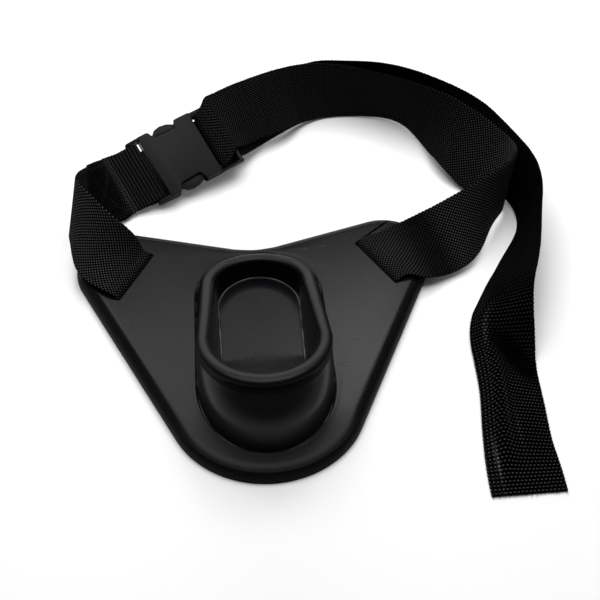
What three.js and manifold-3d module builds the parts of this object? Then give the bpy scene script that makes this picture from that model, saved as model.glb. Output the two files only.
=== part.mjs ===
// Fishing rod bucket: a moulded shield with a raised obround rod cup, worn on a webbing
// waist belt with a side-release buckle. Millimetres, +Z up. The shield lies on its back,
// its upper edge towards +Y, and the fastened belt lies in a loop behind it.
import * as THREE from 'three';
import { mergeVertices } from 'three/addons/utils/BufferGeometryUtils.js';
import Module from 'manifold-3d';

const wasm = await Module();
wasm.setup();

// ---------------------------------------------------------------- driving dimensions
// shield outline, measured on the surface that it lies on
const SIDE_ANGLE = 25.5;          // degrees between a side edge and the axis
const SIDE_OFFSET = 127.8;        // side edge to the axis origin, along its normal
const TOP_ANGLE = 16.3;           // rise of the upper edge of each wing
const TOP_OFFSET = 2.6;           // upper edge to the axis origin, along its normal
const NOTCH_RADIUS = 22;
const TIP_RADIUS = 36;            // wing tips
const APEX_RADIUS = 69.4;         // lower end
const SHIELD_TOP = 12;            // height of the flat face
const SHEET = 3;                  // moulding thickness
const RIM_ROLL = 9;               // radius of the rolled-over edge

// belt slots: a straight slot in each wing, with a thin slit to the upper edge
const SLOT_IN = { x: 76.8, y: 0 };
const SLOT_OUT = { x: 101.2, y: -43.7 };
const SLOT_WIDTH = 6.6;
const SLOT_EXTRA = 1.2;           // slot is this much longer at each end
const SLIT_END = { x: 118, y: 33.8 };
const SLIT_WIDTH = 1.6;

// rod cup: obround sections, heights given at the upper and lower ends
const CUP = {
  base: { top: -3.9, bottom: -189.0, halfTop: 45.6, halfBottom: 46.8, stretch: 1.26 },
  mouthOuter: { top: -8.6, bottom: -174.6, halfTop: 42.3, halfBottom: 46.0, stretch: 1.17 },
  mouthInner: { top: -19.4, bottom: -161.8, halfTop: 31.8, halfBottom: 36.6, stretch: 1.12 },
  floor: { top: -21.4, bottom: -151.5, halfTop: 30.2, halfBottom: 29.3, stretch: 1.0 },
};
const CREST_TOP = 18.6;           // rim height at the upper end
const CREST_BOTTOM = 67.0;        // rim height at the lower end
const RIM_RADIUS = 4.0;
const FLOOR_TOP = 4.2;
const FLOOR_UNDER = 1.0;
const SEAM_GAP = 0.4;             // between the cup and the hole in the shield

// webbing
const WEB_WIDTH = 50;
const WEB_THICK = 1.8;
const FOLD_GAP = 0.35;

// buckle pose: it lies with its lower edge down, leaning back
const BUCKLE = { x: -54.65, y: 100.62, z: 24.22, heading: 26.83, rise: 7.94, lean: 29.76 };
const BUCKLE_HALF_WIDTH = 28.2;
const BUCKLE_INNER_HALF = 25.8;
const BUCKLE_FACE = 5.5;          // half thickness of the female half

const deg = Math.PI / 180;
const lerp = (a, b, t) => a + (b - a) * t;

// ---------------------------------------------------------------- solids from loops
function geometryOf(positions, index) {
  const g = new THREE.BufferGeometry();
  g.setAttribute('position', new THREE.Float32BufferAttribute(positions, 3));
  g.setIndex(index);
  return g;
}

function signedVolume(positions, index) {
  let v = 0;
  for (let i = 0; i < index.length; i += 3) {
    const [a, b, c] = [index[i] * 3, index[i + 1] * 3, index[i + 2] * 3];
    const [ax, ay, az] = positions.slice(a, a + 3);
    const [bx, by, bz] = positions.slice(b, b + 3);
    const [cx, cy, cz] = positions.slice(c, c + 3);
    v += ax * (by * cz - bz * cy) + ay * (bz * cx - bx * cz) + az * (bx * cy - by * cx);
  }
  return v / 6;
}

function solidOf(positions, index) {
  if (signedVolume(positions, index) < 0) {
    for (let i = 0; i < index.length; i += 3) [index[i + 1], index[i + 2]] = [index[i + 2], index[i + 1]];
  }
  return geometryOf(positions, index);
}

// Skin a run of equal-length closed loops. "ring" joins the last loop to the first;
// otherwise both ends are closed by a fan about the loop's middle.
function skinLoops(loops, ring) {
  const n = loops[0].length;
  const positions = loops.flat(2);
  const index = [];
  const strips = ring ? loops.length : loops.length - 1;
  for (let s = 0; s < strips; s++) {
    const a = s * n;
    const b = ((s + 1) % loops.length) * n;
    for (let i = 0; i < n; i++) {
      const j = (i + 1) % n;
      index.push(a + i, a + j, b + j, a + i, b + j, b + i);
    }
  }
  if (!ring) {
    for (const [row, flip] of [[0, true], [loops.length - 1, false]]) {
      const loop = loops[row];
      const mid = loop.reduce((m, p) => [m[0] + p[0] / n, m[1] + p[1] / n, m[2] + p[2] / n], [0, 0, 0]);
      const c = positions.length / 3;
      positions.push(...mid);
      for (let i = 0; i < n; i++) {
        const j = (i + 1) % n;
        if (flip) index.push(row * n + j, row * n + i, c);
        else index.push(row * n + i, row * n + j, c);
      }
    }
  }
  return solidOf(positions, index);
}

function toManifold(geometry) {
  let g = geometry.clone();
  g.deleteAttribute('normal');
  g.deleteAttribute('uv');
  g = mergeVertices(g, 1e-4);
  return new wasm.Manifold(new wasm.Mesh({
    numProp: 3,
    vertProperties: new Float32Array(g.attributes.position.array),
    triVerts: new Uint32Array(g.index.array),
  }));
}

function fromManifold(solid) {
  const mesh = solid.getMesh();
  return geometryOf(Array.from(mesh.vertProperties), Array.from(mesh.triVerts));
}

function join(geometries) {
  return geometries.map(toManifold).reduce((a, b) => a.add(b));
}

function block(x0, x1, y0, y1, z0, z1) {
  const g = new THREE.BoxGeometry(x1 - x0, y1 - y0, z1 - z0);
  g.translate((x0 + x1) / 2, (y0 + y1) / 2, (z0 + z1) / 2);
  return g;
}

// flat outline in x, y pushed from z0 to z1, with a small bevel all round
function slab(points, z0, z1, bevel = 0) {
  const shape = new THREE.Shape(points.map(([x, y]) => new THREE.Vector2(x, y)));
  const g = new THREE.ExtrudeGeometry(shape, {
    depth: z1 - z0 - 2 * bevel, bevelEnabled: bevel > 0, bevelThickness: bevel,
    bevelSize: bevel, bevelOffset: -bevel, bevelSegments: 2, curveSegments: 4,
  });
  g.translate(0, 0, z0 + bevel);
  return g;
}

// ---------------------------------------------------------------- shield
// Points and outward normals of half the outline, from the notch to the lower end.
function shieldOutline() {
  const out = [];
  const arc = (cx, cy, r, a0, a1, count, inward) => {
    for (let i = 0; i < count; i++) {
      const a = lerp(a0, a1, i / count) * deg;
      const nx = Math.cos(a), ny = Math.sin(a);
      out.push({ x: cx + (inward ? -r : r) * nx, y: cy + (inward ? -r : r) * ny, nx, ny });
    }
  };
  const topN = 90 + TOP_ANGLE;                       // normal of the right wing's upper edge
  const sideN = -SIDE_ANGLE;                         // normal of the right side edge
  const notchY = (TOP_OFFSET + NOTCH_RADIUS) / Math.cos(TOP_ANGLE * deg);
  arc(0, notchY, NOTCH_RADIUS, 90, topN, 3, true);
  // wing-tip circle, tangent to both edges
  const a = [Math.cos(topN * deg), Math.sin(topN * deg), TOP_OFFSET - TIP_RADIUS];
  const b = [Math.cos(sideN * deg), Math.sin(sideN * deg), SIDE_OFFSET - TIP_RADIUS];
  const det = a[0] * b[1] - a[1] * b[0];
  const tip = [(a[2] * b[1] - a[1] * b[2]) / det, (a[0] * b[2] - a[2] * b[0]) / det];
  const line = (p, q, nx, ny, count) => {
    for (let i = 0; i < count; i++) out.push({ x: lerp(p[0], q[0], i / count), y: lerp(p[1], q[1], i / count), nx, ny });
  };
  const notchEnd = [-NOTCH_RADIUS * a[0], notchY - NOTCH_RADIUS * a[1]];
  line(notchEnd, [tip[0] + TIP_RADIUS * a[0], tip[1] + TIP_RADIUS * a[1]], a[0], a[1], 7);
  arc(tip[0], tip[1], TIP_RADIUS, topN, sideN, 12, false);
  const apexY = (APEX_RADIUS - SIDE_OFFSET) / Math.sin(SIDE_ANGLE * deg);
  line([tip[0] + TIP_RADIUS * b[0], tip[1] + TIP_RADIUS * b[1]], [APEX_RADIUS * b[0], apexY + APEX_RADIUS * b[1]], b[0], b[1], 12);
  arc(0, apexY, APEX_RADIUS, sideN, -90, 9, false);
  out.push({ x: 0, y: apexY - APEX_RADIUS, nx: 0, ny: -1 });
  const left = out.slice(1, -1).reverse().map(({ x, y, nx, ny }) => ({ x: -x, y, nx: -nx, ny }));
  return out.concat(left);
}

// Obround section: arc centres, half widths and the stretch of its lower end.
function obroundPoint(s, u, grow = 0) {
  const ht = s.halfTop + grow, hb = s.halfBottom + grow;
  const ct = s.top + grow - ht;
  const cb = s.bottom - grow + hb * s.stretch;
  const quarter = (((u % 1) + 1) % 1) * 4;
  if (quarter < 1) {                                    // upper end, right to left
    const a = quarter * Math.PI;
    return [ht * Math.cos(a), ct + ht * Math.sin(a)];
  }
  if (quarter < 2) return [-lerp(ht, hb, quarter - 1), lerp(ct, cb, quarter - 1)];
  if (quarter < 3) {                                    // lower end
    const a = (quarter - 1) * Math.PI;
    return [hb * Math.cos(a), cb + hb * s.stretch * Math.sin(a)];
  }
  return [lerp(hb, ht, quarter - 3), lerp(cb, ct, quarter - 3)];
}

// where a ray from (0, cy) at the direction of (x, y) leaves the section
function obroundTowards(s, grow, x, y, cy) {
  const dx = x, dy = y - cy;
  const steps = 720;
  let previous = obroundPoint(s, 0, grow);
  for (let i = 1; i <= steps; i++) {
    const next = obroundPoint(s, i / steps, grow);
    const [ex, ey] = [next[0] - previous[0], next[1] - previous[1]];
    const det = dx * -ey + ex * dy;
    if (Math.abs(det) > 1e-12) {
      const px = previous[0], py = previous[1] - cy;
      const t = (px * -ey + ex * py) / det;
      const v = (dx * py - dy * px) / det;
      if (t > 0 && v >= -1e-9 && v <= 1 + 1e-9) return [dx * t, cy + dy * t];
    }
    previous = next;
  }
  return previous;
}

const HUB_Y = -98;                                      // hub of the rays that match the loops

function shieldPlate() {
  const outline = shieldOutline();
  const hole = outline.map((p) => obroundTowards(CUP.base, SEAM_GAP, p.x, p.y, HUB_Y));
  const room = outline.map((p, i) => Math.hypot(p.x - hole[i][0], p.y - hole[i][1]));
  const inset = (p, d, z) => [p.x - p.nx * d, p.y - p.ny * d, z];
  const loops = [];
  const rollOf = (i, r, keep) => Math.min(r, (room[i] - keep) * 0.8);
  loops.push(hole.map(([x, y]) => [x, y, SHIELD_TOP]));
  loops.push(outline.map((p, i) => {
    const e = inset(p, rollOf(i, RIM_ROLL, 1.2), SHIELD_TOP);
    return [lerp(hole[i][0], e[0], 0.55), lerp(hole[i][1], e[1], 0.55), SHIELD_TOP];
  }));
  for (const step of [0, 18, 36, 54, 72, 90]) {
    loops.push(outline.map((p, i) => inset(p,
      rollOf(i, RIM_ROLL, 1.2) * (1 - Math.sin(step * deg)),
      SHIELD_TOP - RIM_ROLL * (1 - Math.cos(step * deg)))));
  }
  loops.push(outline.map((p) => inset(p, 0, 0)));
  loops.push(outline.map((p) => inset(p, SHEET - 0.2, 0)));
  for (const step of [90, 60, 30, 0]) {
    loops.push(outline.map((p, i) => inset(p,
      SHEET + rollOf(i, RIM_ROLL - SHEET, SHEET + 1.6) * (1 - Math.sin(step * deg)),
      SHIELD_TOP - SHEET - (RIM_ROLL - SHEET) * (1 - Math.cos(step * deg)))));
  }
  loops.push(hole.map(([x, y]) => [x, y, SHIELD_TOP - SHEET]));
  let plate = toManifold(skinLoops(loops, true));
  for (const side of [1, -1]) {
    for (const cut of [slotCutter(side), slitCutter(side)]) plate = plate.subtract(toManifold(cut));
  }
  return fromManifold(plate);
}

// slot frame: t runs along the slot from its inner to its outer end, n points outward
function slotFrame(side) {
  const ix = side * SLOT_IN.x, ox = side * SLOT_OUT.x;
  const length = Math.hypot(ox - ix, SLOT_OUT.y - SLOT_IN.y);
  const t = [(ox - ix) / length, (SLOT_OUT.y - SLOT_IN.y) / length];
  return { mid: [(ix + ox) / 2, (SLOT_IN.y + SLOT_OUT.y) / 2], t, n: [-t[1] * side, t[0] * side], length };
}

function bar2d(p, q, across, z0, z1) {
  // straight cutter along p-q; "across" is [from, to] along the left-hand normal
  const l = Math.hypot(q[0] - p[0], q[1] - p[1]);
  const t = [(q[0] - p[0]) / l, (q[1] - p[1]) / l];
  const n = [-t[1], t[0]];
  return slab([
    [p[0] + n[0] * across[0], p[1] + n[1] * across[0]], [q[0] + n[0] * across[0], q[1] + n[1] * across[0]],
    [q[0] + n[0] * across[1], q[1] + n[1] * across[1]], [p[0] + n[0] * across[1], p[1] + n[1] * across[1]],
  ], z0, z1);
}

function slotCutter(side) {
  const f = slotFrame(side);
  const h = f.length / 2 + SLOT_EXTRA;
  const at = (s, d) => [f.mid[0] + f.t[0] * s + f.n[0] * d, f.mid[1] + f.t[1] * s + f.n[1] * d];
  const ring = [at(-h, 0), at(h, 0), at(h, SLOT_WIDTH), at(-h, SLOT_WIDTH)];
  return slab(side > 0 ? ring : ring.reverse(), -1, SHIELD_TOP + 4);
}

function slitCutter(side) {
  const p = [side * SLOT_IN.x, SLOT_IN.y], q = [side * SLIT_END.x, SLIT_END.y];
  const l = Math.hypot(q[0] - p[0], q[1] - p[1]);
  const back = [p[0] - (q[0] - p[0]) / l * 0.2, p[1] - (q[1] - p[1]) / l * 0.2];
  return bar2d(back, q, [-SLIT_WIDTH / 2 + side * 0.2, SLIT_WIDTH / 2 + side * 0.2], -1, SHIELD_TOP + 4);
}

// ---------------------------------------------------------------- rod cup
const crestAt = (y) => lerp(CREST_TOP, CREST_BOTTOM, (CUP.mouthOuter.top - y) / (CUP.mouthOuter.top - CUP.mouthOuter.bottom));

function rodCup() {
  const n = 64;
  const loop = (f) => Array.from({ length: n }, (_, i) => f((i + 0.5) / n));
  const at = (s, u, z, grow = 0) => { const p = obroundPoint(s, u, grow); return [p[0], p[1], typeof z === 'function' ? z(p) : z]; };
  const mix = (a, b, t, z) => [lerp(a[0], b[0], t), lerp(a[1], b[1], t), z];
  const rimFoot = (u) => { const p = obroundPoint(CUP.mouthOuter, u); return crestAt(p[1]) - RIM_RADIUS; };
  const innerFoot = (u) => { const p = obroundPoint(CUP.mouthInner, u); return crestAt(p[1]) - RIM_RADIUS; };
  const loops = [];
  loops.push(loop((u) => at(CUP.floor, u, FLOOR_TOP, -0.6)));
  // inner wall, flaring upwards
  for (const t of [0.02, 0.35, 0.7, 1]) {
    loops.push(loop((u) => mix(obroundPoint(CUP.floor, u), obroundPoint(CUP.mouthInner, u), Math.pow(t, 1.15), lerp(FLOOR_TOP, innerFoot(u), t))));
  }
  // rolled rim, from the inside over the top
  for (const a of [150, 120, 90, 60, 30]) {
    loops.push(loop((u) => {
      const p = obroundPoint(CUP.mouthInner, u), q = obroundPoint(CUP.mouthOuter, u);
      const t = (1 + Math.cos(a * deg)) / 2;
      const z = lerp(innerFoot(u), rimFoot(u), t) + RIM_RADIUS * Math.pow(Math.sin(a * deg), 0.75);
      return mix(p, q, t, z);
    }));
  }
  loops.push(loop((u) => at(CUP.mouthOuter, u, rimFoot(u))));
  // a slight neck below the rim, then the outer wall, which in front swells out before it runs down to the shield
  const swell = (t) => 0.93 * (1 - Math.pow(1 - Math.min(t / 0.46, 1), 1.6)) + 0.07 * t;
  const front = (u) => { const f = Math.min(Math.max((-118 - obroundPoint(CUP.mouthOuter, u)[1]) / 46, 0), 1); return f * f * (3 - 2 * f); };
  const wallTop = (u) => Math.max(rimFoot(u) - 2.2, SHIELD_TOP + 0.8);
  for (const [t, neck] of [[0.0, -0.9], [0.12, -1.0], [0.24, -0.8], [0.4, -0.5], [0.6, -0.2], [1, 0]]) {
    loops.push(loop((u) => {
      const high = wallTop(u), low = SHIELD_TOP - 0.2;
      const p = obroundPoint(CUP.mouthOuter, u, neck), q = obroundPoint(CUP.base, u, neck * 0.3);
      return mix(p, q, lerp(t, swell(t), front(u)), lerp(high, low, t));
    }));
  }
  loops.push(loop((u) => at(CUP.base, u, FLOOR_UNDER)));
  // hollow between the two walls, open underneath
  const wall = SHEET - 0.4;
  loops.push(loop((u) => at(CUP.base, u, FLOOR_UNDER, -wall)));
  loops.push(loop((u) => {
    const p = obroundPoint(CUP.mouthOuter, u, -wall - 0.6);
    return [p[0], p[1], Math.max(rimFoot(u) - 3.2, 6.5)];
  }));
  loops.push(loop((u) => {
    const p = obroundPoint(CUP.mouthInner, u, wall);
    return [p[0], p[1], Math.max(innerFoot(u) - 3.2, 6.5)];
  }));
  loops.push(loop((u) => at(CUP.floor, u, FLOOR_UNDER, wall)));
  return skinLoops(loops, false);
}

// ---------------------------------------------------------------- webbing
// Belt sections: the low and high edge of the webbing at each fold or bend.
const SHORT_RUN = [
  { lowX: -118.5, lowY: -32.1, lowZ: 15.4, highX: -87.6, highY: 5.4, highZ: 26.5 },
  { lowX: -125, lowY: -26, lowZ: 15, highX: -91.7, highY: 4.4, highZ: 35.6 },
  { lowX: -130.1, lowY: -19.6, lowZ: 14.9, highX: -96.8, highY: 4.2, highZ: 43.5 },
  { lowX: -133.7, lowY: -12.5, lowZ: 15.2, highX: -102.5, highY: 5.3, highZ: 50.2 },
  { lowX: -135.9, lowY: -5.3, lowZ: 15.8, highX: -108.3, highY: 8.4, highZ: 55.7 },
  { lowX: -137.3, lowY: 1.7, lowZ: 16.4, highX: -114, highY: 13.3, highZ: 59.8 },
  { lowX: -138.2, lowY: 8.3, lowZ: 16.7, highX: -119.6, highY: 19.4, highZ: 62.5 },
  { lowX: -139.1, lowY: 14.7, lowZ: 16.5, highX: -124.9, highY: 26.2, highZ: 63.9 },
  { lowX: -140.1, lowY: 20.7, lowZ: 16, highX: -128.8, highY: 33.4, highZ: 63.9 },
  { lowX: -140, lowY: 26.7, lowZ: 15, highX: -129.1, highY: 40.7, highZ: 62.5 },
  { lowX: -136.8, lowY: 32.6, lowZ: 13.8, highX: -126.2, highY: 47.7, highZ: 60.2 },
  { lowX: -131.3, lowY: 37.4, lowZ: 11, highX: -122.5, highY: 54.4, highZ: 57.4 },
  { lowX: -124.2, lowY: 41.1, lowZ: 7.8, highX: -119.3, highY: 61.1, highZ: 53.9 },
  { lowX: -116.1, lowY: 44.3, lowZ: 5.1, highX: -117, highY: 68.1, highZ: 49.8 },
  { lowX: -107.7, lowY: 47.8, lowZ: 3.1, highX: -115.6, highY: 75.3, highZ: 45.1 },
  { lowX: -99.5, lowY: 52.2, lowZ: 2.6, highX: -114.9, highY: 82.7, highZ: 40 },
  { lowX: -92.2, lowY: 58, lowZ: 4.2, highX: -114.6, highY: 90.5, highZ: 34.6 },
];
// from the buckle's adjuster bar, along the far arc and round the right turn to the right slot
const LONG_RUN = [
  { lowX: -8.7, lowY: 104.8, lowZ: 25.6, highX: -32.3, highY: 141.4, highZ: 50 },
  { lowX: -2.6, lowY: 114.3, lowZ: 19.7, highX: -21.4, highY: 147.5, highZ: 51.7 },
  { lowX: 4.7, lowY: 123, lowZ: 15.5, highX: -10.8, highY: 153.6, highZ: 52.4 },
  { lowX: 13.5, lowY: 130.3, lowZ: 13.6, highX: -0.4, highY: 159.5, highZ: 52.1 },
  { lowX: 23.3, lowY: 136, lowZ: 12.8, highX: 10.1, highY: 165.3, highZ: 51.8 },
  { lowX: 33.2, lowY: 141.8, lowZ: 12, highX: 20.8, highY: 170.7, highZ: 51.4 },
  { lowX: 41.5, lowY: 149.5, lowZ: 9.3, highX: 32.1, highY: 175.6, highZ: 50.9 },
  { lowX: 48.9, lowY: 158.1, lowZ: 5.5, highX: 43.7, highY: 179.8, highZ: 50.3 },
  { lowX: 58.3, lowY: 164.8, lowZ: 2.9, highX: 55.8, highY: 181.7, highZ: 50 },
  { lowX: 69.3, lowY: 169.1, lowZ: 1.7, highX: 67.9, highY: 181.2, highZ: 50.1 },
  { lowX: 81.2, lowY: 170.5, lowZ: 1.1, highX: 79.5, highY: 178, highZ: 50.7 },
  { lowX: 93.4, lowY: 169.9, lowZ: 1.1, highX: 90.4, highY: 173.1, highZ: 51.5 },
  { lowX: 105.4, lowY: 168.2, lowZ: 1.5, highX: 100.9, highY: 167.3, highZ: 52.1 },
  { lowX: 116.8, lowY: 164.9, lowZ: 2.3, highX: 111.2, highY: 161.4, highZ: 52.8 },
  { lowX: 127.2, lowY: 159.6, lowZ: 3.1, highX: 121.5, highY: 155.4, highZ: 53.5 },
  { lowX: 135.6, lowY: 151.8, lowZ: 3.3, highX: 131.6, highY: 148.9, highZ: 54 },
  { lowX: 141.7, lowY: 141.7, lowZ: 3.4, highX: 141.8, highY: 142.1, highZ: 54.2 },
  { lowX: 145.9, lowY: 130.3, lowZ: 4, highX: 152.3, highY: 135.1, highZ: 54 },
  { lowX: 149, lowY: 118.2, lowZ: 5.7, highX: 162.9, highY: 127.9, highZ: 53.3 },
  { lowX: 151.7, lowY: 106.2, lowZ: 8.1, highX: 173.3, highY: 120.4, highZ: 51.6 },
  { lowX: 155, lowY: 94.6, lowZ: 10.1, highX: 183.1, highY: 112.5, highZ: 49.1 },
  { lowX: 159.4, lowY: 83.7, lowZ: 10, highX: 192.1, highY: 104, highZ: 46.4 },
  { lowX: 165.6, lowY: 73.7, lowZ: 7.3, highX: 199.9, highY: 95, highZ: 44.1 },
  { lowX: 174.1, lowY: 65, lowZ: 3.5, highX: 206, highY: 85, highZ: 43.3 },
  { lowX: 185, lowY: 57.6, lowZ: 1.1, highX: 209.7, highY: 73.9, highZ: 44.7 },
  { lowX: 195.3, lowY: 50.3, lowZ: 1.1, highX: 210.4, highY: 62.2, highZ: 48.1 },
  { lowX: 199.9, lowY: 42.2, lowZ: 2.8, highX: 207.8, highY: 50.6, highZ: 52 },
  { lowX: 197.4, lowY: 33.3, lowZ: 4.6, highX: 201.8, highY: 40, highZ: 54.8 },
  { lowX: 191.1, lowY: 24.4, lowZ: 5.8, highX: 193.3, highY: 31, highZ: 56.1 },
  { lowX: 185.1, lowY: 14.7, lowZ: 6.2, highX: 183.2, highY: 23.5, highZ: 56.1 },
  { lowX: 179.9, lowY: 4.1, lowZ: 6.3, highX: 172.2, highY: 17.5, highZ: 54.4 },
  { lowX: 174.4, lowY: -6.7, lowZ: 6.4, highX: 160.7, highY: 13, highZ: 51 },
  { lowX: 167.4, lowY: -16.7, lowZ: 6.2, highX: 149.4, highY: 10.1, highZ: 46 },
  { lowX: 158.3, lowY: -24.8, lowZ: 5.6, highX: 138.4, highY: 8.6, highZ: 40.1 },
  { lowX: 147.6, lowY: -30.7, lowZ: 5.4, highX: 127.7, highY: 8.2, highZ: 33.7 },
  { lowX: 136, lowY: -36.0, lowZ: 7.9, highX: 116.9, highY: 8.1, highZ: 27.1 },
  { lowX: 124.5, lowY: -40.0, lowZ: 12.4, highX: 105.3, highY: 7.7, highZ: 20.8 },
  { lowX: 113.8, lowY: -38.9, lowZ: 15.2, highX: 92.9, highY: 6.4, highZ: 15.2 },
];
// from under the adjuster bar, behind the far arc and down the right side to the free end;
// "ridge" is the height of the lengthwise crease
const TAIL_RUN = [
  { lowX: -5.5, lowY: 106.2, lowZ: 14.7, highX: -29.7, highY: 142.2, highZ: 39.6, ridge: 0 },
  { lowX: 5.9, lowY: 122.3, lowZ: 8.4, highX: -12.8, highY: 151.9, highZ: 44.2, ridge: 0 },
  { lowX: 25.7, lowY: 143.5, lowZ: 4.1, highX: 12.5, highY: 166.1, highZ: 46.7, ridge: 0 },
  { lowX: 47.4, lowY: 162.5, lowZ: 1.4, highX: 38, highY: 179.4, highZ: 47.5, ridge: 0 },
  { lowX: 72, lowY: 177.7, lowZ: 1.2, highX: 66.2, highY: 184.6, highZ: 50.3, ridge: 0 },
  { lowX: 84.3, lowY: 181.3, lowZ: 1.2, highX: 79.5, highY: 182.5, highZ: 51.1, ridge: 0 },
  { lowX: 96.8, lowY: 183.2, lowZ: 1.8, highX: 92.4, highY: 179.9, highZ: 51.9, ridge: 0 },
  { lowX: 109.3, lowY: 183, lowZ: 2.8, highX: 105.1, highY: 176.9, highZ: 52.7, ridge: 0 },
  { lowX: 121.6, lowY: 180.7, lowZ: 3.6, highX: 117.6, highY: 173.1, highZ: 53.3, ridge: 0 },
  { lowX: 133.1, lowY: 176.1, lowZ: 3.9, highX: 129.5, highY: 168.2, highZ: 53.5, ridge: 0 },
  { lowX: 143.6, lowY: 169.4, lowZ: 3.5, highX: 141.1, highY: 162.2, highZ: 53.3, ridge: 0 },
  { lowX: 152.6, lowY: 160.8, lowZ: 2.7, highX: 152.2, highY: 155.3, highZ: 52.9, ridge: 0 },
  { lowX: 160.1, lowY: 150.7, lowZ: 1.8, highX: 163.1, highY: 147.8, highZ: 52, ridge: 0 },
  { lowX: 166.1, lowY: 139.5, lowZ: 1.2, highX: 173.8, highY: 139.9, highZ: 50.9, ridge: 0 },
  { lowX: 171, lowY: 127.6, lowZ: 1.1, highX: 184.2, highY: 131.4, highZ: 49.5, ridge: 0 },
  { lowX: 175.2, lowY: 115.5, lowZ: 1.2, highX: 193.6, highY: 122.2, highZ: 47.8, ridge: 0 },
  { lowX: 179.2, lowY: 103.4, lowZ: 1.3, highX: 201.3, highY: 111.8, highZ: 45.9, ridge: 0 },
  { lowX: 183.6, lowY: 91.7, lowZ: 1.2, highX: 207.3, highY: 100.3, highZ: 44.7, ridge: 0 },
  { lowX: 188.9, lowY: 80.4, lowZ: 1.1, highX: 212, highY: 88.1, highZ: 44.8, ridge: 0 },
  { lowX: 195.1, lowY: 69.6, lowZ: 1.1, highX: 215.4, highY: 75.3, highZ: 46.3, ridge: 0 },
  { lowX: 201.5, lowY: 59.1, lowZ: 1.3, highX: 218.3, highY: 62.1, highZ: 48.3, ridge: 0 },
  { lowX: 206.8, lowY: 48.1, lowZ: 1.5, highX: 220.5, highY: 48.7, highZ: 49.9, ridge: 0 },
  { lowX: 209.6, lowY: 36.4, lowZ: 1.5, highX: 221.5, highY: 35.1, highZ: 50.5, ridge: 0 },
  { lowX: 209.4, lowY: 24.4, lowZ: 1.3, highX: 220.8, highY: 21.5, highZ: 50.4, ridge: 0 },
  { lowX: 206, lowY: 12.9, lowZ: 1.1, highX: 218.5, highY: 8.1, highZ: 49.8, ridge: 0 },
  { lowX: 200.1, lowY: 1.9, lowZ: 1.1, highX: 215.3, highY: -5.1, highZ: 48.5, ridge: 0 },
  { lowX: 193, lowY: -8.8, lowZ: 1.3, highX: 212.2, highY: -18.2, highZ: 46.8, ridge: 0 },
  { lowX: 186, lowY: -19.7, lowZ: 1.6, highX: 209.3, highY: -31.2, highZ: 44.8, ridge: 0 },
  { lowX: 179.2, lowY: -30.8, lowZ: 1.9, highX: 206, highY: -43.9, highZ: 42.5, ridge: 0 },
  { lowX: 172.1, lowY: -41.8, lowZ: 2.4, highX: 202, highY: -56.3, highZ: 40.3, ridge: 0 },
  { lowX: 162.9, lowY: -57.9, lowZ: 2.4, highX: 195.5, highY: -74, highZ: 37.9, ridge: 0.6 },
  { lowX: 154, lowY: -75, lowZ: 2.4, highX: 192.5, highY: -90.7, highZ: 29.4, ridge: 4 },
  { lowX: 149.3, lowY: -95.1, lowZ: 2, highX: 193.1, highY: -103.4, highZ: 13.4, ridge: 9 },
  { lowX: 148.5, lowY: -114.9, lowZ: 1.6, highX: 191.7, highY: -118.5, highZ: 2.4, ridge: 11.5 },
  { lowX: 147.1, lowY: -143.1, lowZ: 1.4, highX: 189.9, highY: -146.1, highZ: 1.4, ridge: 11 },
  { lowX: 142, lowY: -180.3, lowZ: 1.3, highX: 187.9, highY: -182.6, highZ: 1.3, ridge: 7 },
  { lowX: 139.2, lowY: -208.6, lowZ: 1.2, highX: 188.7, highY: -209.5, highZ: 1.2, ridge: 1.5 },
  { lowX: 138.7, lowY: -227.4, lowZ: 1.2, highX: 188.7, highY: -227.1, highZ: 1.2, ridge: 0.2 },
];
// shape of the crease across the webbing, from the low edge to the high edge
const CREASE = [
  { across: 0, share: 0 }, { across: 0.14, share: 0.52 }, { across: 0.28, share: 1 },
  { across: 0.48, share: 0.5 }, { across: 0.74, share: 0.24 }, { across: 1, share: 0 },
];

const edgePair = (r) => ({
  low: new THREE.Vector3(r.lowX, r.lowY, r.lowZ), high: new THREE.Vector3(r.highX, r.highY, r.highZ), ridge: r.ridge ?? 0,
});

// even sections along a table, by a smooth curve through each edge
function sectionsAlong(table, spacing) {
  const rows = table.map(edgePair);
  const low = new THREE.CatmullRomCurve3(rows.map((r) => r.low), false, 'catmullrom', 0.5);
  const high = new THREE.CatmullRomCurve3(rows.map((r) => r.high), false, 'catmullrom', 0.5);
  const ridge = new THREE.CatmullRomCurve3(rows.map((r) => new THREE.Vector3(r.ridge, 0, 0)), false, 'catmullrom', 0.5);
  const fine = 600, at = (i) => low.getPoint(i / fine).add(high.getPoint(i / fine)).multiplyScalar(0.5);
  const length = [0];
  for (let i = 1; i <= fine; i++) length.push(length[i - 1] + at(i).distanceTo(at(i - 1)));
  const count = Math.max(2, Math.round(length[fine] / spacing));
  const out = [];
  for (let k = 0, i = 0; k <= count; k++) {
    const want = length[fine] * k / count;
    while (i < fine && length[i + 1] < want) i++;
    const u = Math.min(1, (i + (want - length[i]) / Math.max(1e-9, length[Math.min(i + 1, fine)] - length[i])) / fine);
    out.push({ low: low.getPoint(u), high: high.getPoint(u), ridge: Math.max(0, ridge.getPoint(u).x) });
  }
  return out;
}

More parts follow.
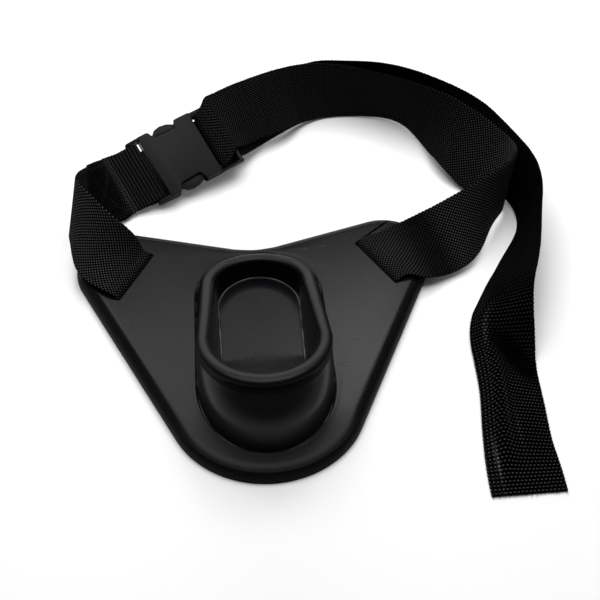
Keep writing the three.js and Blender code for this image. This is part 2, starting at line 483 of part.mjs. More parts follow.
// One strip of webbing through a run of sections.
function webbing(sections) {
  const cols = CREASE.length;
  const mids = sections.map((s, i) => {
    const before = sections[Math.max(0, i - 1)], after = sections[Math.min(sections.length - 1, i + 1)];
    const along = new THREE.Vector3().addVectors(after.low, after.high).sub(before.low).sub(before.high).normalize();
    const across = new THREE.Vector3().subVectors(s.high, s.low).normalize();
    const up = new THREE.Vector3().crossVectors(along, across).normalize();
    return CREASE.map(({ across: f, share }) => new THREE.Vector3().lerpVectors(s.low, s.high, f).addScaledVector(up, s.ridge * share * (s.flip ?? 1)));
  });
  const faceOf = (side) => mids.map((row, i) => row.map((p, j) => {
    const a = mids[Math.max(0, i - 1)][j], b = mids[Math.min(mids.length - 1, i + 1)][j];
    const c = row[Math.max(0, j - 1)], d = row[Math.min(cols - 1, j + 1)];
    const normal = new THREE.Vector3().crossVectors(b.clone().sub(a), d.clone().sub(c)).normalize();
    return p.clone().addScaledVector(normal, side * WEB_THICK / 2);
  }));
  const upper = faceOf(1), under = faceOf(-1);
  const loops = sections.map((_, i) => [...upper[i], ...under[i].slice().reverse()].map((p) => [p.x, p.y, p.z]));
  const n = loops[0].length;
  const positions = loops.flat(2);
  const index = [];
  for (let s = 0; s < loops.length - 1; s++) {
    for (let i = 0; i < n; i++) {
      const j = (i + 1) % n;
      index.push(s * n + i, s * n + j, (s + 1) * n + j, s * n + i, (s + 1) * n + j, (s + 1) * n + i);
    }
  }
  for (const [row, flip] of [[0, true], [loops.length - 1, false]]) {
    for (let j = 0; j < cols - 1; j++) {
      const [a, b, c, d] = [row * n + j, row * n + j + 1, row * n + n - 2 - j, row * n + n - 1 - j];
      if (flip) index.push(b, a, d, b, d, c); else index.push(a, b, c, a, c, d);
    }
  }
  return solidOf(positions, index);
}

// hem folded behind a wing, and the way up through its slot:
// d is measured outward from the slot's inner edge
const SLOT_PASS = [
  { d: -4, z: 4.2 }, { d: -14, z: 4.2 }, { d: -24, z: 4.2 }, { d: -26.4, z: 4.7 }, { d: -26.6, z: 6.0 }, { d: -24, z: 6.7 },
  { d: -14, z: 6.7 }, { d: -5, z: 6.7 }, { d: 0, z: 7.1 }, { d: 2.2, z: 8.6 }, { d: 2.9, z: 10.8 }, { d: 4.0, z: 13.2 }, { d: 6.8, z: 14.6 },
];
function slotSections(side) {
  const f = slotFrame(side);
  return SLOT_PASS.map(({ d, z }) => {
    const at = (s) => new THREE.Vector3(f.mid[0] + f.t[0] * s + f.n[0] * d, f.mid[1] + f.t[1] * s + f.n[1] * d, z);
    return { low: at(WEB_WIDTH / 2), high: at(-WEB_WIDTH / 2), ridge: 0 };
  });
}

// ---------------------------------------------------------------- buckle frame
const buckleMatrix = new THREE.Matrix4().makeRotationFromEuler(new THREE.Euler(BUCKLE.lean * deg, -BUCKLE.rise * deg, BUCKLE.heading * deg, 'ZYX'))
  .setPosition(BUCKLE.x, BUCKLE.y, BUCKLE.z);
// webbing sections in the buckle's frame: x along the buckle, z off its middle,
// "slide" is how far the webbing lies off centre
const buckleSection = ({ x, z, slide = 0, skew = 0 }) => ({
  low: new THREE.Vector3(x + skew, -WEB_WIDTH / 2 + slide, z).applyMatrix4(buckleMatrix),
  high: new THREE.Vector3(x - skew, WEB_WIDTH / 2 + slide, z).applyMatrix4(buckleMatrix),
  ridge: 0,
});
const SOCKET_LOOP = [
  { x: -41.5, z: 1.7 }, { x: -36.5, z: 2.55 }, { x: -32.2, z: 2.85 }, { x: -28.2, z: 2.2 }, { x: -26.7, z: 0.2 },
  { x: -27.7, z: -2.0 }, { x: -31.4, z: -3.3 }, { x: -35.4, z: -3.1 }, { x: -39.8, z: -1.6 },
];
const ADJUSTER_LOOP = [
  { x: 38, z: 4.1, slide: 4.6, skew: 0.7 }, { x: 33.8, z: 4.0, slide: 1.9, skew: 0.4 }, { x: 30.6, z: 3.5, slide: 0.3 }, { x: 27.7, z: 2.2 },
  { x: 26.7, z: 0 }, { x: 27.5, z: -2.2 }, { x: 30.2, z: -3.6, slide: 0 }, { x: 34.4, z: -4.1, slide: 0.1, skew: 0 }, { x: 39, z: -4.5, slide: 0.2, skew: 0.2 },
];

function shortStrap() {
  const run = sectionsAlong(SHORT_RUN, 7.5);
  const front = [...slotSections(-1), ...run, ...SOCKET_LOOP.map(buckleSection)];
  // the sewn-back end lies behind the front layer
  const back = [];
  for (let i = run.length - 1; i >= run.length - 6; i--) {
    const before = run[i - 1], after = run[i + 1] ?? buckleSection(SOCKET_LOOP[0]);
    const along = new THREE.Vector3().addVectors(after.low, after.high).sub(before.low).sub(before.high).normalize();
    const across = new THREE.Vector3().subVectors(run[i].high, run[i].low).normalize();
    const off = new THREE.Vector3().crossVectors(along, across).normalize().multiplyScalar(-(WEB_THICK + FOLD_GAP));
    back.push({ low: run[i].low.clone().add(off), high: run[i].high.clone().add(off), ridge: 0 });
  }
  return webbing([...front, ...back]);
}

function longStrap() {
  const run = sectionsAlong(LONG_RUN, 9).reverse();
  const tail = sectionsAlong(TAIL_RUN, 9.5);
  return webbing([...slotSections(1), ...run, ...ADJUSTER_LOOP.map(buckleSection), ...tail]);
}

// ---------------------------------------------------------------- buckle
const bothSides = (points) => points.map(([x, y]) => [x, -y]).reverse();

function buckleSocket() {
  const half = BUCKLE_HALF_WIDTH, inner = BUCKLE_INNER_HALF, face = BUCKLE_FACE;
  // one long side of the face, with its side-release window
  const edge = [[23.4, half - 0.3], [10.4, half - 0.3], [9.4, half - 1.0], [7.2, 21.4], [6.0, 20.7], [-9.6, 21.5], [-11.4, 22.4], [-13.9, half - 0.6], [-15.2, half], [-23.4, half]];
  const outline = [...edge, ...bothSides(edge)];
  const skin = 2.2;
  const parts = [
    slab(outline, face - skin, face, 0.6),
    slab(outline, -face, -face + skin, 0.6),
    block(-23.3, -20.6, -half + 0.2, half - 0.2, -face + 1.1, face - 1.1),
    block(-25.7, -22.4, -inner + 0.1, 19.2, -face, -3.5),
    block(22.6, 27.6, -half + 0.6, 22, -face, -4.6),
  ];
  for (const s of [1, -1]) {
    const wall = (x0, x1) => block(x0, x1, Math.min(s * inner, s * (half - 0.35)), Math.max(s * inner, s * (half - 0.35)), -face + 1.1, face - 1.1);
    parts.push(wall(-22.6, -15.2), wall(10.8, 23.1));
    // cheeks that hold the web bar, as a side profile pushed across
    const cheek = [[-22.5, 4.9], [-26.5, 4.3], [-32.6, 3.2], [-34.3, 2.0], [-34.6, -2.6], [-33.4, -4.2], [-26.5, -4.9], [-22.5, -4.9]];
    const g = slab(cheek, 0, half - inner, 0.4);
    g.rotateX(Math.PI / 2);
    g.translate(0, s > 0 ? half : -inner, 0);
    parts.push(g);
  }
  const bar = slab([[-33.7, -1.0], [-32.9, -1.8], [-31.1, -1.8], [-30.3, -1.0], [-30.3, 0.8], [-31.1, 1.6], [-32.9, 1.6], [-33.7, 0.8]], 0, 2 * inner + 1.2);
  bar.rotateX(Math.PI / 2);
  bar.translate(0, inner + 0.6, 0);
  parts.push(bar);
  return fromManifold(join(parts));
}

function buckleProngs() {
  const half = BUCKLE_HALF_WIDTH, inner = BUCKLE_INNER_HALF;
  const low = -2.3, high = 2.1;
  const prong = [[15.4, 17.2], [15.4, 21.6], [10.2, 23.2], [7.6, 26.2], [3, 28.4], [-3, 29.2], [-8, 28.0], [-11.4, 24.8], [-12.7, 22.2], [-12.7, 19.4], [-9, 18.5], [0, 18.2]];
  const parts = [
    block(15.0, 20.6, -25.3, 25.3, low, 2.7),
    slab([[15.4, -3.6], [15.4, 3.6], [-13, 3.0], [-14.6, 1.6], [-14.6, -1.6], [-13, -3.0]], -1.8, 1.8, 0.4),
  ];
  for (const s of [1, -1]) {
    const side = (points) => (s > 0 ? points.slice().reverse() : points.map(([x, y]) => [x, -y]));
    parts.push(slab(side(prong), low, 2.7, 0.5));
    parts.push(slab(side([[15.2, 22.2], [15.2, 25.25], [23.75, 25.25], [23.75, half], [44.6, half], [44.6, inner], [25.4, inner], [24.9, 22.2]]), low, high, 0.4));
  }
  for (const [x0, x1, z0, z1] of [[28.2, 31.8, -1.9, 1.7], [41.2, 44.5, low + 0.1, high - 0.1]]) {
    const c = 0.8;
    const bar = slab([[x0, z0 + c], [x0 + c, z0], [x1 - c, z0], [x1, z0 + c], [x1, z1 - c], [x1 - c, z1], [x0 + c, z1], [x0, z1 - c]], 0, 2 * inner + 1.2);
    bar.rotateX(Math.PI / 2);
    bar.translate(0, inner + 0.6, 0);
    parts.push(bar);
  }
  return fromManifold(join(parts));
}

// ---------------------------------------------------------------- assembly
const moulded = { color: 0x1a1b1d, roughness: 0.42, metalness: 0 };
const woven = { color: 0x0c0c0e, roughness: 0.88, metalness: 0 };
const clip = { color: 0x1c1d1f, roughness: 0.5, metalness: 0 };

const model = new THREE.Group();
function add(name, geometry, look, matrix) {
  const mesh = new THREE.Mesh(geometry, new THREE.MeshStandardMaterial(look));
  mesh.name = name;
  if (matrix) mesh.applyMatrix4(matrix);
  model.add(mesh);
}
add('shield_plate', shieldPlate(), moulded);
add('rod_cup', rodCup(), moulded);
add('short_strap', shortStrap(), woven);
add('long_strap', longStrap(), woven);
add('buckle_socket', buckleSocket(), clip, buckleMatrix);
add('buckle_prongs', buckleProngs(), clip, buckleMatrix);

// the origin is the middle of the footprint, on the surface that it lies on
model.updateMatrixWorld(true);
const box = new THREE.Box3().setFromObject(model, true);
model.position.set(-(box.min.x + box.max.x) / 2, -(box.min.y + box.max.y) / 2, -box.min.z);
model.updateMatrixWorld(true);

export default model;
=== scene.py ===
import math
import bpy
import bmesh
import numpy as np
from mathutils import Matrix, Vector


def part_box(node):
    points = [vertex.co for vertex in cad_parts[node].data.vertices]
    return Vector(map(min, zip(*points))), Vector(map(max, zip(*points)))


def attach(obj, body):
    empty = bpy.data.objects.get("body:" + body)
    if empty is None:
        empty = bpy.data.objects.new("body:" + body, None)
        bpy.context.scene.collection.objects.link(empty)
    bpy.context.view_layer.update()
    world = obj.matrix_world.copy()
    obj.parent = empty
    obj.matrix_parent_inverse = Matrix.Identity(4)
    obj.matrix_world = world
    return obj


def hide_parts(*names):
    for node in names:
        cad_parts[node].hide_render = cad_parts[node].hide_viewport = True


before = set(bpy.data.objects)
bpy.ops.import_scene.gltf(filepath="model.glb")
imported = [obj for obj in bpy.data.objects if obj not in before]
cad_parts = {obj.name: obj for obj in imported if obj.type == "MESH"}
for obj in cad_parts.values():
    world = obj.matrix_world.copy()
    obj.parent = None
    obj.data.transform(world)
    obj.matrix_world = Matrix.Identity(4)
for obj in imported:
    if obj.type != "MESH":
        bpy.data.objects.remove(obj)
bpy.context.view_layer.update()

rng = np.random.default_rng(7)
deg = math.pi / 180

# ------------------------------------------------------------------ frame
SIDE_ANGLE, SIDE_OFFSET = 25.5, 127.8
TOP_ANGLE, TOP_OFFSET = 16.3, 2.6
NOTCH_RADIUS, TIP_RADIUS, APEX_RADIUS = 22.0, 36.0, 69.4
SHIELD_TOP, SHEET, RIM_ROLL = 12.0, 3.0, 9.0
APEX_Y = (APEX_RADIUS - SIDE_OFFSET) / math.sin(SIDE_ANGLE * deg)

plate_low, plate_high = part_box("shield_plate")
SHIFT = np.array([(plate_low[0] + plate_high[0]) / 2,
                  plate_low[1] - (APEX_Y - APEX_RADIUS) / 1000, 0.0])


def P(points):
    return np.asarray(points, float) / 1000 + SHIFT


def lerp(a, b, t):
    return a + (b - a) * t


def smooth(t):
    t = np.clip(t, 0, 1)
    return t * t * (3 - 2 * t)


# ------------------------------------------------------------------ meshes
def sharpen(mesh, angle):
    bm = bmesh.new()
    bm.from_mesh(mesh)
    for e in bm.edges:
        if len(e.link_faces) == 2:
            e.smooth = e.calc_face_angle(0) < angle * deg
    for f in bm.faces:
        f.smooth = True
    bm.to_mesh(mesh)
    bm.free()


def new_object(name, points, faces, angle=40, metres=False):
    mesh = bpy.data.meshes.new(name)
    mesh.from_pydata([tuple(p) for p in (points if metres else P(points))], [], [tuple(int(i) for i in f) for f in faces])
    mesh.validate()
    sharpen(mesh, angle)
    ob = bpy.data.objects.new(name, mesh)
    bpy.context.scene.collection.objects.link(ob)
    return ob


def ring_faces(loops, n, ring):
    out = []
    for s in range(loops if ring else loops - 1):
        a, b = s * n, ((s + 1) % loops) * n
        for i in range(n):
            j = (i + 1) % n
            out.append((a + i, a + j, b + j, b + i))
    return out


def outward(points, faces):
    p = np.asarray(points, float)
    v = 0.0
    for f in faces:
        for k in range(1, len(f) - 1):
            v += np.dot(p[f[0]], np.cross(p[f[k]], p[f[k + 1]]))
    return faces if v > 0 else [tuple(reversed(f)) for f in faces]


def boolean(ob, other, how):
    m = ob.modifiers.new("cut", "BOOLEAN")
    m.operation, m.object = how, other
    m.solver = "MANIFOLD" if how == "UNION" else "EXACT"
    bpy.context.view_layer.update()
    done = bpy.data.meshes.new_from_object(ob.evaluated_get(bpy.context.evaluated_depsgraph_get()))
    ob.modifiers.clear()
    old, ob.data = ob.data, done
    bpy.data.meshes.remove(old)
    bpy.data.objects.remove(other)


def fillet(points, radius, seg=5):
    """Round each corner of a closed outline."""
    out = []
    n = len(points)
    for i in range(n):
        a, b, c = (np.array(points[(i + k) % n], float) for k in (-1, 0, 1))
        r = radius[i] if hasattr(radius, "__len__") else radius
        u, v = a - b, c - b
        lu, lv = np.linalg.norm(u), np.linalg.norm(v)
        u, v = u / lu, v / lv
        ang = math.acos(max(-1, min(1, float(u @ v))))
        if r <= 0 or ang > math.pi - 0.05:
            out.append(b)
            continue
        cut = min(r / math.tan(ang / 2), 0.45 * lu, 0.45 * lv)
        p, q = b + u * cut, b + v * cut
        for k in range(seg + 1):
            t = k / seg
            out.append((1 - t) ** 2 * p + 2 * t * (1 - t) * b + t * t * q)
    return np.array(out)


def inset(points, d):
    """Shift a closed outline inward by d (its turns run anticlockwise)."""
    p = np.asarray(points, float)
    e = np.roll(p, -1, 0) - p
    e /= np.linalg.norm(e, axis=1)[:, None] + 1e-12
    n = np.stack([-e[:, 1], e[:, 0]], 1)
    m = n + np.roll(n, 1, 0)
    m /= np.linalg.norm(m, axis=1)[:, None] + 1e-12
    k = np.clip((m * n).sum(1), 0.4, 1)
    return p + m * (d / k)[:, None]


def area2(points):
    x, y = points[:, 0], points[:, 1]
    return float((x * np.roll(y, -1) - y * np.roll(x, -1)).sum() / 2)


def slab(name, outline, z0, z1, edge=0.4, seg=3, to=None):
    """A plate with rounded edges; to() maps its points into millimetres."""
    o = np.asarray(outline, float)
    if area2(o) < 0:
        o = o[::-1]
    loops = []
    for k in range(seg + 1):
        a = k / seg * math.pi / 2
        q = inset(o, edge * (1 - math.sin(a)))
        loops.append(np.column_stack([q, np.full(len(q), z0 + edge * (1 - math.cos(a)))]))
    for k in range(seg, -1, -1):
        a = k / seg * math.pi / 2
        q = inset(o, edge * (1 - math.sin(a)))
        loops.append(np.column_stack([q, np.full(len(q), z1 - edge * (1 - math.cos(a)))]))
    n = len(o)
    pts = np.concatenate(loops)
    faces = ring_faces(len(loops), n, False)
    faces.append(tuple(reversed(range(n))))
    faces.append(tuple(range((len(loops) - 1) * n, len(loops) * n)))
    if to is not None:
        pts = to(pts)
    return new_object(name, pts, outward(pts, faces))


# ------------------------------------------------------------------ shield
def shield_outline(fine=4):
    out = []

    def arc(cx, cy, r, a0, a1, count, inward):
        for i in range(count):
            a = lerp(a0, a1, i / count) * deg
            nx, ny = math.cos(a), math.sin(a)
            s = -1 if inward else 1
            out.append((cx + s * r * nx, cy + s * r * ny, nx, ny))

    def line(p, q, n, count):
        for i in range(count):
            out.append((lerp(p[0], q[0], i / count), lerp(p[1], q[1], i / count), n[0], n[1]))

    top_n, side_n = 90 + TOP_ANGLE, -SIDE_ANGLE
    notch_y = (TOP_OFFSET + NOTCH_RADIUS) / math.cos(TOP_ANGLE * deg)
    arc(0, notch_y, NOTCH_RADIUS, 90, top_n, 3 * fine, True)
    a = (math.cos(top_n * deg), math.sin(top_n * deg), TOP_OFFSET - TIP_RADIUS)
    b = (math.cos(side_n * deg), math.sin(side_n * deg), SIDE_OFFSET - TIP_RADIUS)
    det = a[0] * b[1] - a[1] * b[0]
    tip = ((a[2] * b[1] - a[1] * b[2]) / det, (a[0] * b[2] - a[2] * b[0]) / det)
    line((-NOTCH_RADIUS * a[0], notch_y - NOTCH_RADIUS * a[1]), (tip[0] + TIP_RADIUS * a[0], tip[1] + TIP_RADIUS * a[1]), a, 7 * fine)
    arc(tip[0], tip[1], TIP_RADIUS, top_n, side_n, 11 * fine, False)
    line((tip[0] + TIP_RADIUS * b[0], tip[1] + TIP_RADIUS * b[1]), (APEX_RADIUS * b[0], APEX_Y + APEX_RADIUS * b[1]), b, 12 * fine)
    arc(0, APEX_Y, APEX_RADIUS, side_n, -90, 9 * fine, False)
    out.append((0, APEX_Y - APEX_RADIUS, 0, -1))
    out += [(-x, y, -nx, ny) for x, y, nx, ny in reversed(out[1:-1])]
    return np.array(out)


BASE = dict(top=-3.9, bottom=-189.0, halfTop=45.6, halfBottom=46.8, stretch=1.26)
MOUTH_OUT = dict(top=-8.6, bottom=-174.6, halfTop=42.3, halfBottom=46.0, stretch=1.17)
MOUTH_IN = dict(top=-19.4, bottom=-161.8, halfTop=31.8, halfBottom=36.6, stretch=1.12)
FLOOR = dict(top=-21.4, bottom=-151.5, halfTop=30.2, halfBottom=29.3, stretch=1.0)
CREST_TOP, CREST_BOTTOM, RIM_RADIUS = 18.6, 67.0, 4.0
FLOOR_TOP, FLOOR_UNDER, SEAM_GAP = 4.2, 1.0, 0.4
HUB_Y = -98.0


def obround(s, u, grow=0.0):
    u = np.asarray(u, float) % 1
    ht, hb = s["halfTop"] + grow, s["halfBottom"] + grow
    ct, cb = s["top"] + grow - ht, s["bottom"] - grow + hb * s["stretch"]
    q = u * 4
    x, y = np.empty_like(u), np.empty_like(u)
    m = q < 1
    x[m], y[m] = ht * np.cos(q[m] * math.pi), ct + ht * np.sin(q[m] * math.pi)
    m = (q >= 1) & (q < 2)
    x[m], y[m] = -lerp(ht, hb, q[m] - 1), lerp(ct, cb, q[m] - 1)
    m = (q >= 2) & (q < 3)
    a = (q[m] - 1) * math.pi
    x[m], y[m] = hb * np.cos(a), cb + hb * s["stretch"] * np.sin(a)
    m = q >= 3
    x[m], y[m] = lerp(hb, ht, q[m] - 3), lerp(cb, ct, q[m] - 3)
    return np.stack([x, y], -1)


def obround_towards(s, grow, xy):
    """Where rays from the hub towards each xy leave the section."""
    ring = obround(s, np.linspace(0, 1, 2881)[:-1], grow) - [0, HUB_Y]
    ang = np.unwrap(np.arctan2(ring[:, 1], ring[:, 0]))
    want = np.arctan2(xy[:, 1] - HUB_Y, xy[:, 0])
    lo = ang[0]
    want = lo + (want - lo) % (2 * math.pi)
    r = np.hypot(ring[:, 0], ring[:, 1])
    ang = np.append(ang, ang[0] + 2 * math.pi)
    r = np.append(r, r[0])
    d = np.interp(want, ang, r)
    return np.stack([d * np.cos(want), HUB_Y + d * np.sin(want)], -1)


def plate_wave(x, y):
    """Slow unevenness of the moulded plate, in millimetres."""
    w = 0.10 * np.sin(x / 13.0 + 0.02 * y) * np.exp(-((np.abs(x) - 78) / 30) ** 2)
    w += 0.10 * np.sin(y / 27.0 + x / 60.0 + 0.7)
    w += 0.06 * np.sin(x / 8.5 + 1.2) * np.exp(-((x - 92) / 22) ** 2)
    return w


def slot_frame(side):
    i, o = np.array([side * 76.8, 0.0]), np.array([side * 101.2, -43.7])
    length = np.linalg.norm(o - i)
    t = (o - i) / length
    return (i + o) / 2, t, np.array([-t[1] * side, t[0] * side]), length


def make_shield():
    o = shield_outline()
    xy, nrm = o[:, :2], o[:, 2:]
    hole = lambda d: obround_towards(BASE, SEAM_GAP + d, xy)
    h0 = hole(0)
    room = np.hypot(*(xy - h0).T)
    roll = lambda r, keep: np.minimum(r, (room - keep) * 0.8)
    loops = []

    def add(p, z, wave=0.0):
        z = np.broadcast_to(np.asarray(z, float), (len(p),)).copy()
        if wave:
            z += wave * plate_wave(p[:, 0], p[:, 1])
        loops.append(np.column_stack([p, z]))

    # thin raised lip round the cup, then the flat, then the rolled edge
    add(h0, SHIELD_TOP - 1.6)
    for d, z in ((0.03, -0.7), (0.10, -0.15), (0.26, 0.22), (0.50, 0.36), (0.76, 0.28), (1.0, 0.10), (1.3, 0.02)):
        add(hole(d), SHIELD_TOP + z)
    start = xy - nrm * roll(RIM_ROLL, 1.2)[:, None]
    h1 = hole(1.9)
    for k in range(0, 17):
        f = k / 17
        fade = smooth(f * 4) * smooth((1 - f) * 3)
        p = h1 + (start - h1) * f
        z = SHIELD_TOP + fade * plate_wave(p[:, 0], p[:, 1])
        add(p, z)
    for k in range(15):
        a = k / 14 * 90 * deg
        # the roll starts softly and tightens towards the rim
        add(xy - nrm * (roll(RIM_ROLL, 1.2) * (1 - math.sin(a) ** 0.94))[:, None],
            SHIELD_TOP - RIM_ROLL * (1 - math.cos(a) ** 0.94))
    add(xy, 1.6)
    for k in range(1, 5):
        a = k / 4 * 90 * deg
        add(xy - nrm * (0.7 * (1 - math.cos(a))), 0.7 * (1 - math.sin(a)))
    for k in range(0, 4):
        a = k / 3 * 90 * deg
        add(xy - nrm * (SHEET - 0.7 + 0.7 * math.sin(a)), 0.7 * (1 - math.cos(a)))
    for k in range(9):
        a = (90 - k / 8 * 90) * deg
        add(xy - nrm * (SHEET + roll(RIM_ROLL - SHEET, SHEET + 1.6) * (1 - math.sin(a)))[:, None],
            SHIELD_TOP - SHEET - (RIM_ROLL - SHEET) * (1 - math.cos(a)))
    last = loops[-1][:, :2]
    for f in (0.33, 0.66):
        add(lerp(last, h0, f), SHIELD_TOP - SHEET)
    add(h0, SHIELD_TOP - SHEET)
    n = len(xy)
    pts = np.concatenate(loops)
    ob = new_object("shield_moulding", pts, outward(pts, ring_faces(len(loops), n, True)), 50)

    for side in (1, -1):
        mid, t, nn, length = slot_frame(side)
        h = length / 2 + 1.2
        at = lambda s, d: mid + t * s + nn * d
        ring = fillet([at(-h, 0), at(h, 0), at(h, 6.6), at(-h, 6.6)], 2.2, 4)
        boolean(ob, slab("cut", ring, -2, SHIELD_TOP + 4, 0.01, 1), "DIFFERENCE")
        p, q = np.array([side * 76.8, 0.0]), np.array([side * 118.0, 33.8])
        e = (q - p) / np.linalg.norm(q - p)
        m = np.array([-e[1], e[0]])
        a, b = p + e * 0.2, q + e * 6
        w = [a + m * (-0.8 + side * 0.2), b + m * (-0.8 + side * 0.2), b + m * (0.8 + side * 0.2), a + m * (0.8 + side * 0.2)]
        boolean(ob, slab("cut", w, -2, SHIELD_TOP + 4, 0.01, 1), "DIFFERENCE")
    sharpen(ob.data, 42)
    return ob


# ------------------------------------------------------------------ rod cup
def crest(y):
    return lerp(CREST_TOP, CREST_BOTTOM, (MOUTH_OUT["top"] - y) / (MOUTH_OUT["top"] - MOUTH_OUT["bottom"]))


RIM_ROWS = None


def make_cup():
    n = 288
    u = (np.arange(n) + 0.5) / n
    floor, m_in, m_out, base = (obround(s, u) for s in (FLOOR, MOUTH_IN, MOUTH_OUT, BASE))
    rim_foot = crest(m_out[:, 1]) - RIM_RADIUS
    in_foot = crest(m_in[:, 1]) - RIM_RADIUS
    loops = []

    def add(p, z):
        loops.append(np.column_stack([p, np.broadcast_to(np.asarray(z, float), (n,))]))

    def floor_z(p):
        # the floor bends up a little below a faint crease near its lower end
        line = -101.2 + 0.010 * p[:, 0]
        return FLOOR_TOP + 0.085 * np.clip(line - p[:, 1], 0, 60) + 0.10 * np.sin(p[:, 1] / 21.0) * np.cos(p[:, 0] / 17.0)

    hub = np.array([0, -86.0])
    for f in (0.04, 0.12, 0.22, 0.34, 0.46, 0.58, 0.70, 0.80, 0.88, 0.94, 0.975):
        p = hub + (floor - hub) * f
        add(p, floor_z(p))
    edge_noise = 0.10 * np.sin(u * 2 * math.pi * 37) + 0.08 * np.sin(u * 2 * math.pi * 91 + 1) + rng.normal(0, 0.05, n)
    inner = lambda d: obround(FLOOR, u, d)
    fz = floor_z(floor)
    # rough line of flash where floor and wall meet
    flash0 = len(loops)
    for d, z in ((-1.1, 0.0), (-0.8, 0.16), (-0.55, 0.42), (-0.3, 0.5), (-0.08, 0.42), (0.0, 0.3)):
        add(inner(d + (0.12 * edge_noise)[:, None] * 0 if np.ndim(d) else d), fz + z * (1 + 0.8 * edge_noise * (z > 0.1)))
    for t in (0.03, 0.08, 0.16, 0.28, 0.4, 0.52, 0.64, 0.76, 0.88, 0.95, 1.0):
        add(lerp(floor, m_in, t ** 1.15), lerp(fz, in_foot, t))
    roll0 = len(loops)
    for k in range(1, 24):
        a = (180 - k / 24 * 180) * deg
        t = (1 + math.cos(a)) / 2
        add(lerp(m_in, m_out, t), lerp(in_foot, rim_foot, t) + RIM_RADIUS * math.sin(a) ** 0.75)
    add(m_out, rim_foot)
    top = np.maximum(rim_foot - 2.2, SHIELD_TOP + 0.8)
    # the roll tucks in under itself, then the wall runs down to the plate
    tall = smooth((-118 - m_out[:, 1]) / 46)[:, None]
    tucked = obround(MOUTH_OUT, u, -2.3)
    for d, f in ((0.08, 0.3), (0.24, 0.65)):
        add(lerp(m_out, tucked, d * (0.12 + 0.88 * tall)), lerp(rim_foot, top, f))
    start = lerp(m_out, tucked, 0.42 * (0.12 + 0.88 * tall))
    for t in (0.0, 0.03, 0.07, 0.12, 0.17, 0.22, 0.28, 0.34, 0.4, 0.47, 0.54, 0.62, 0.7, 0.78, 0.86, 0.93, 0.985):
        # in front the wall swells out below the rim, then stands upright down to the plate
        swell = 0.93 * (1 - (1 - min(t / 0.46, 1)) ** 1.6) + 0.07 * t
        waist = obround(MOUTH_OUT, u, -2.3)
        k = smooth(t / 0.07) * (1 - smooth((t - 0.05) / 0.4))
        p = lerp(start, waist, 0.5 * k * (0.12 + 0.88 * tall))
        add(lerp(p, base, lerp(t, swell, tall)), lerp(top, SHIELD_TOP - 0.2, t))
    # a thin ragged line of flash where the wall meets the plate
    seam = len(loops)
    rag = np.clip(0.5 + 0.5 * np.sin(u * 2 * math.pi * 23 + 0.4) + rng.normal(0, 0.25, n), 0.15, 1.2)[:, None]
    for d, z in ((0.05, 0.75), (0.62, 0.42), (0.66, 0.12)):
        add(lerp(base, obround(BASE, u, d), rag), SHIELD_TOP + z)
    add(base, 6.0)
    add(base, FLOOR_UNDER + 0.4)
    add(obround(BASE, u, -0.4), FLOOR_UNDER)
    wall = SHEET - 0.4
    add(obround(BASE, u, -wall), FLOOR_UNDER)
    a, b = obround(BASE, u, -wall), obround(MOUTH_OUT, u, -wall - 0.6)
    hi = np.maximum(rim_foot - 3.2, 6.5)
    for t in (0.33, 0.66, 1.0):
        add(lerp(a, b, t), lerp(FLOOR_UNDER, hi, t))
    c, hi2 = obround(MOUTH_IN, u, wall), np.maximum(in_foot - 3.2, 6.5)
    add(c, hi2)
    d = obround(FLOOR, u, wall)
    for t in (0.33, 0.66, 1.0):
        add(lerp(c, d, t), lerp(hi2, FLOOR_UNDER, t))
    add(obround(FLOOR, u, wall - 1), FLOOR_UNDER)
    pts = np.concatenate(loops)
    faces = ring_faces(len(loops), n, False)
    k = len(pts)
    first, final = loops[0].mean(0), np.array([0, -86.0, FLOOR_UNDER])
    pts = np.vstack([pts, first, final])
    for i in range(n):
        j = (i + 1) % n
        faces.append((j, i, k))
        faces.append(((len(loops) - 1) * n + i, (len(loops) - 1) * n + j, k + 1))
    ob = new_object("cup_moulding", pts, outward(pts, faces), 55)
    flash_and_highlight, roll = np.zeros(len(pts)), np.zeros(len(pts))
    patchy = np.clip(0.62 + 0.5 * np.sin(u * 2 * math.pi * 5 + 1.1) * np.sin(u * 2 * math.pi * 11), 0.25, 1)
    # painted highlight: the rows of the flash ridges are coloured light, standing in for the light their rounded tops
    # catch
    for k, v in ((flash0 + 2, 0.7), (flash0 + 3, 1.0), (flash0 + 4, 0.6), (seam + 1, 1.0), (seam + 2, 0.5)):
        flash_and_highlight[k * n:(k + 1) * n] = v * patchy
    for k in range(23):
        roll[(roll0 + k) * n:(roll0 + k + 1) * n] = 0.8
    roll[(roll0 + 23) * n:seam * n] = 0.55
    global RIM_ROWS
    RIM_ROWS = (n, (roll0 + 17) * n, (roll0 + 28) * n)
    for key, values in (("flash_and_highlight", flash_and_highlight), ("roll", roll)):
        ob.data.attributes.new(key, "FLOAT", "POINT").data.foreach_set("value", values.astype(np.float32))
    return ob


# ------------------------------------------------------------------ webbing tables
WEB_WIDTH, WEB_THICK, FOLD_GAP = 50.0, 1.8, 0.35
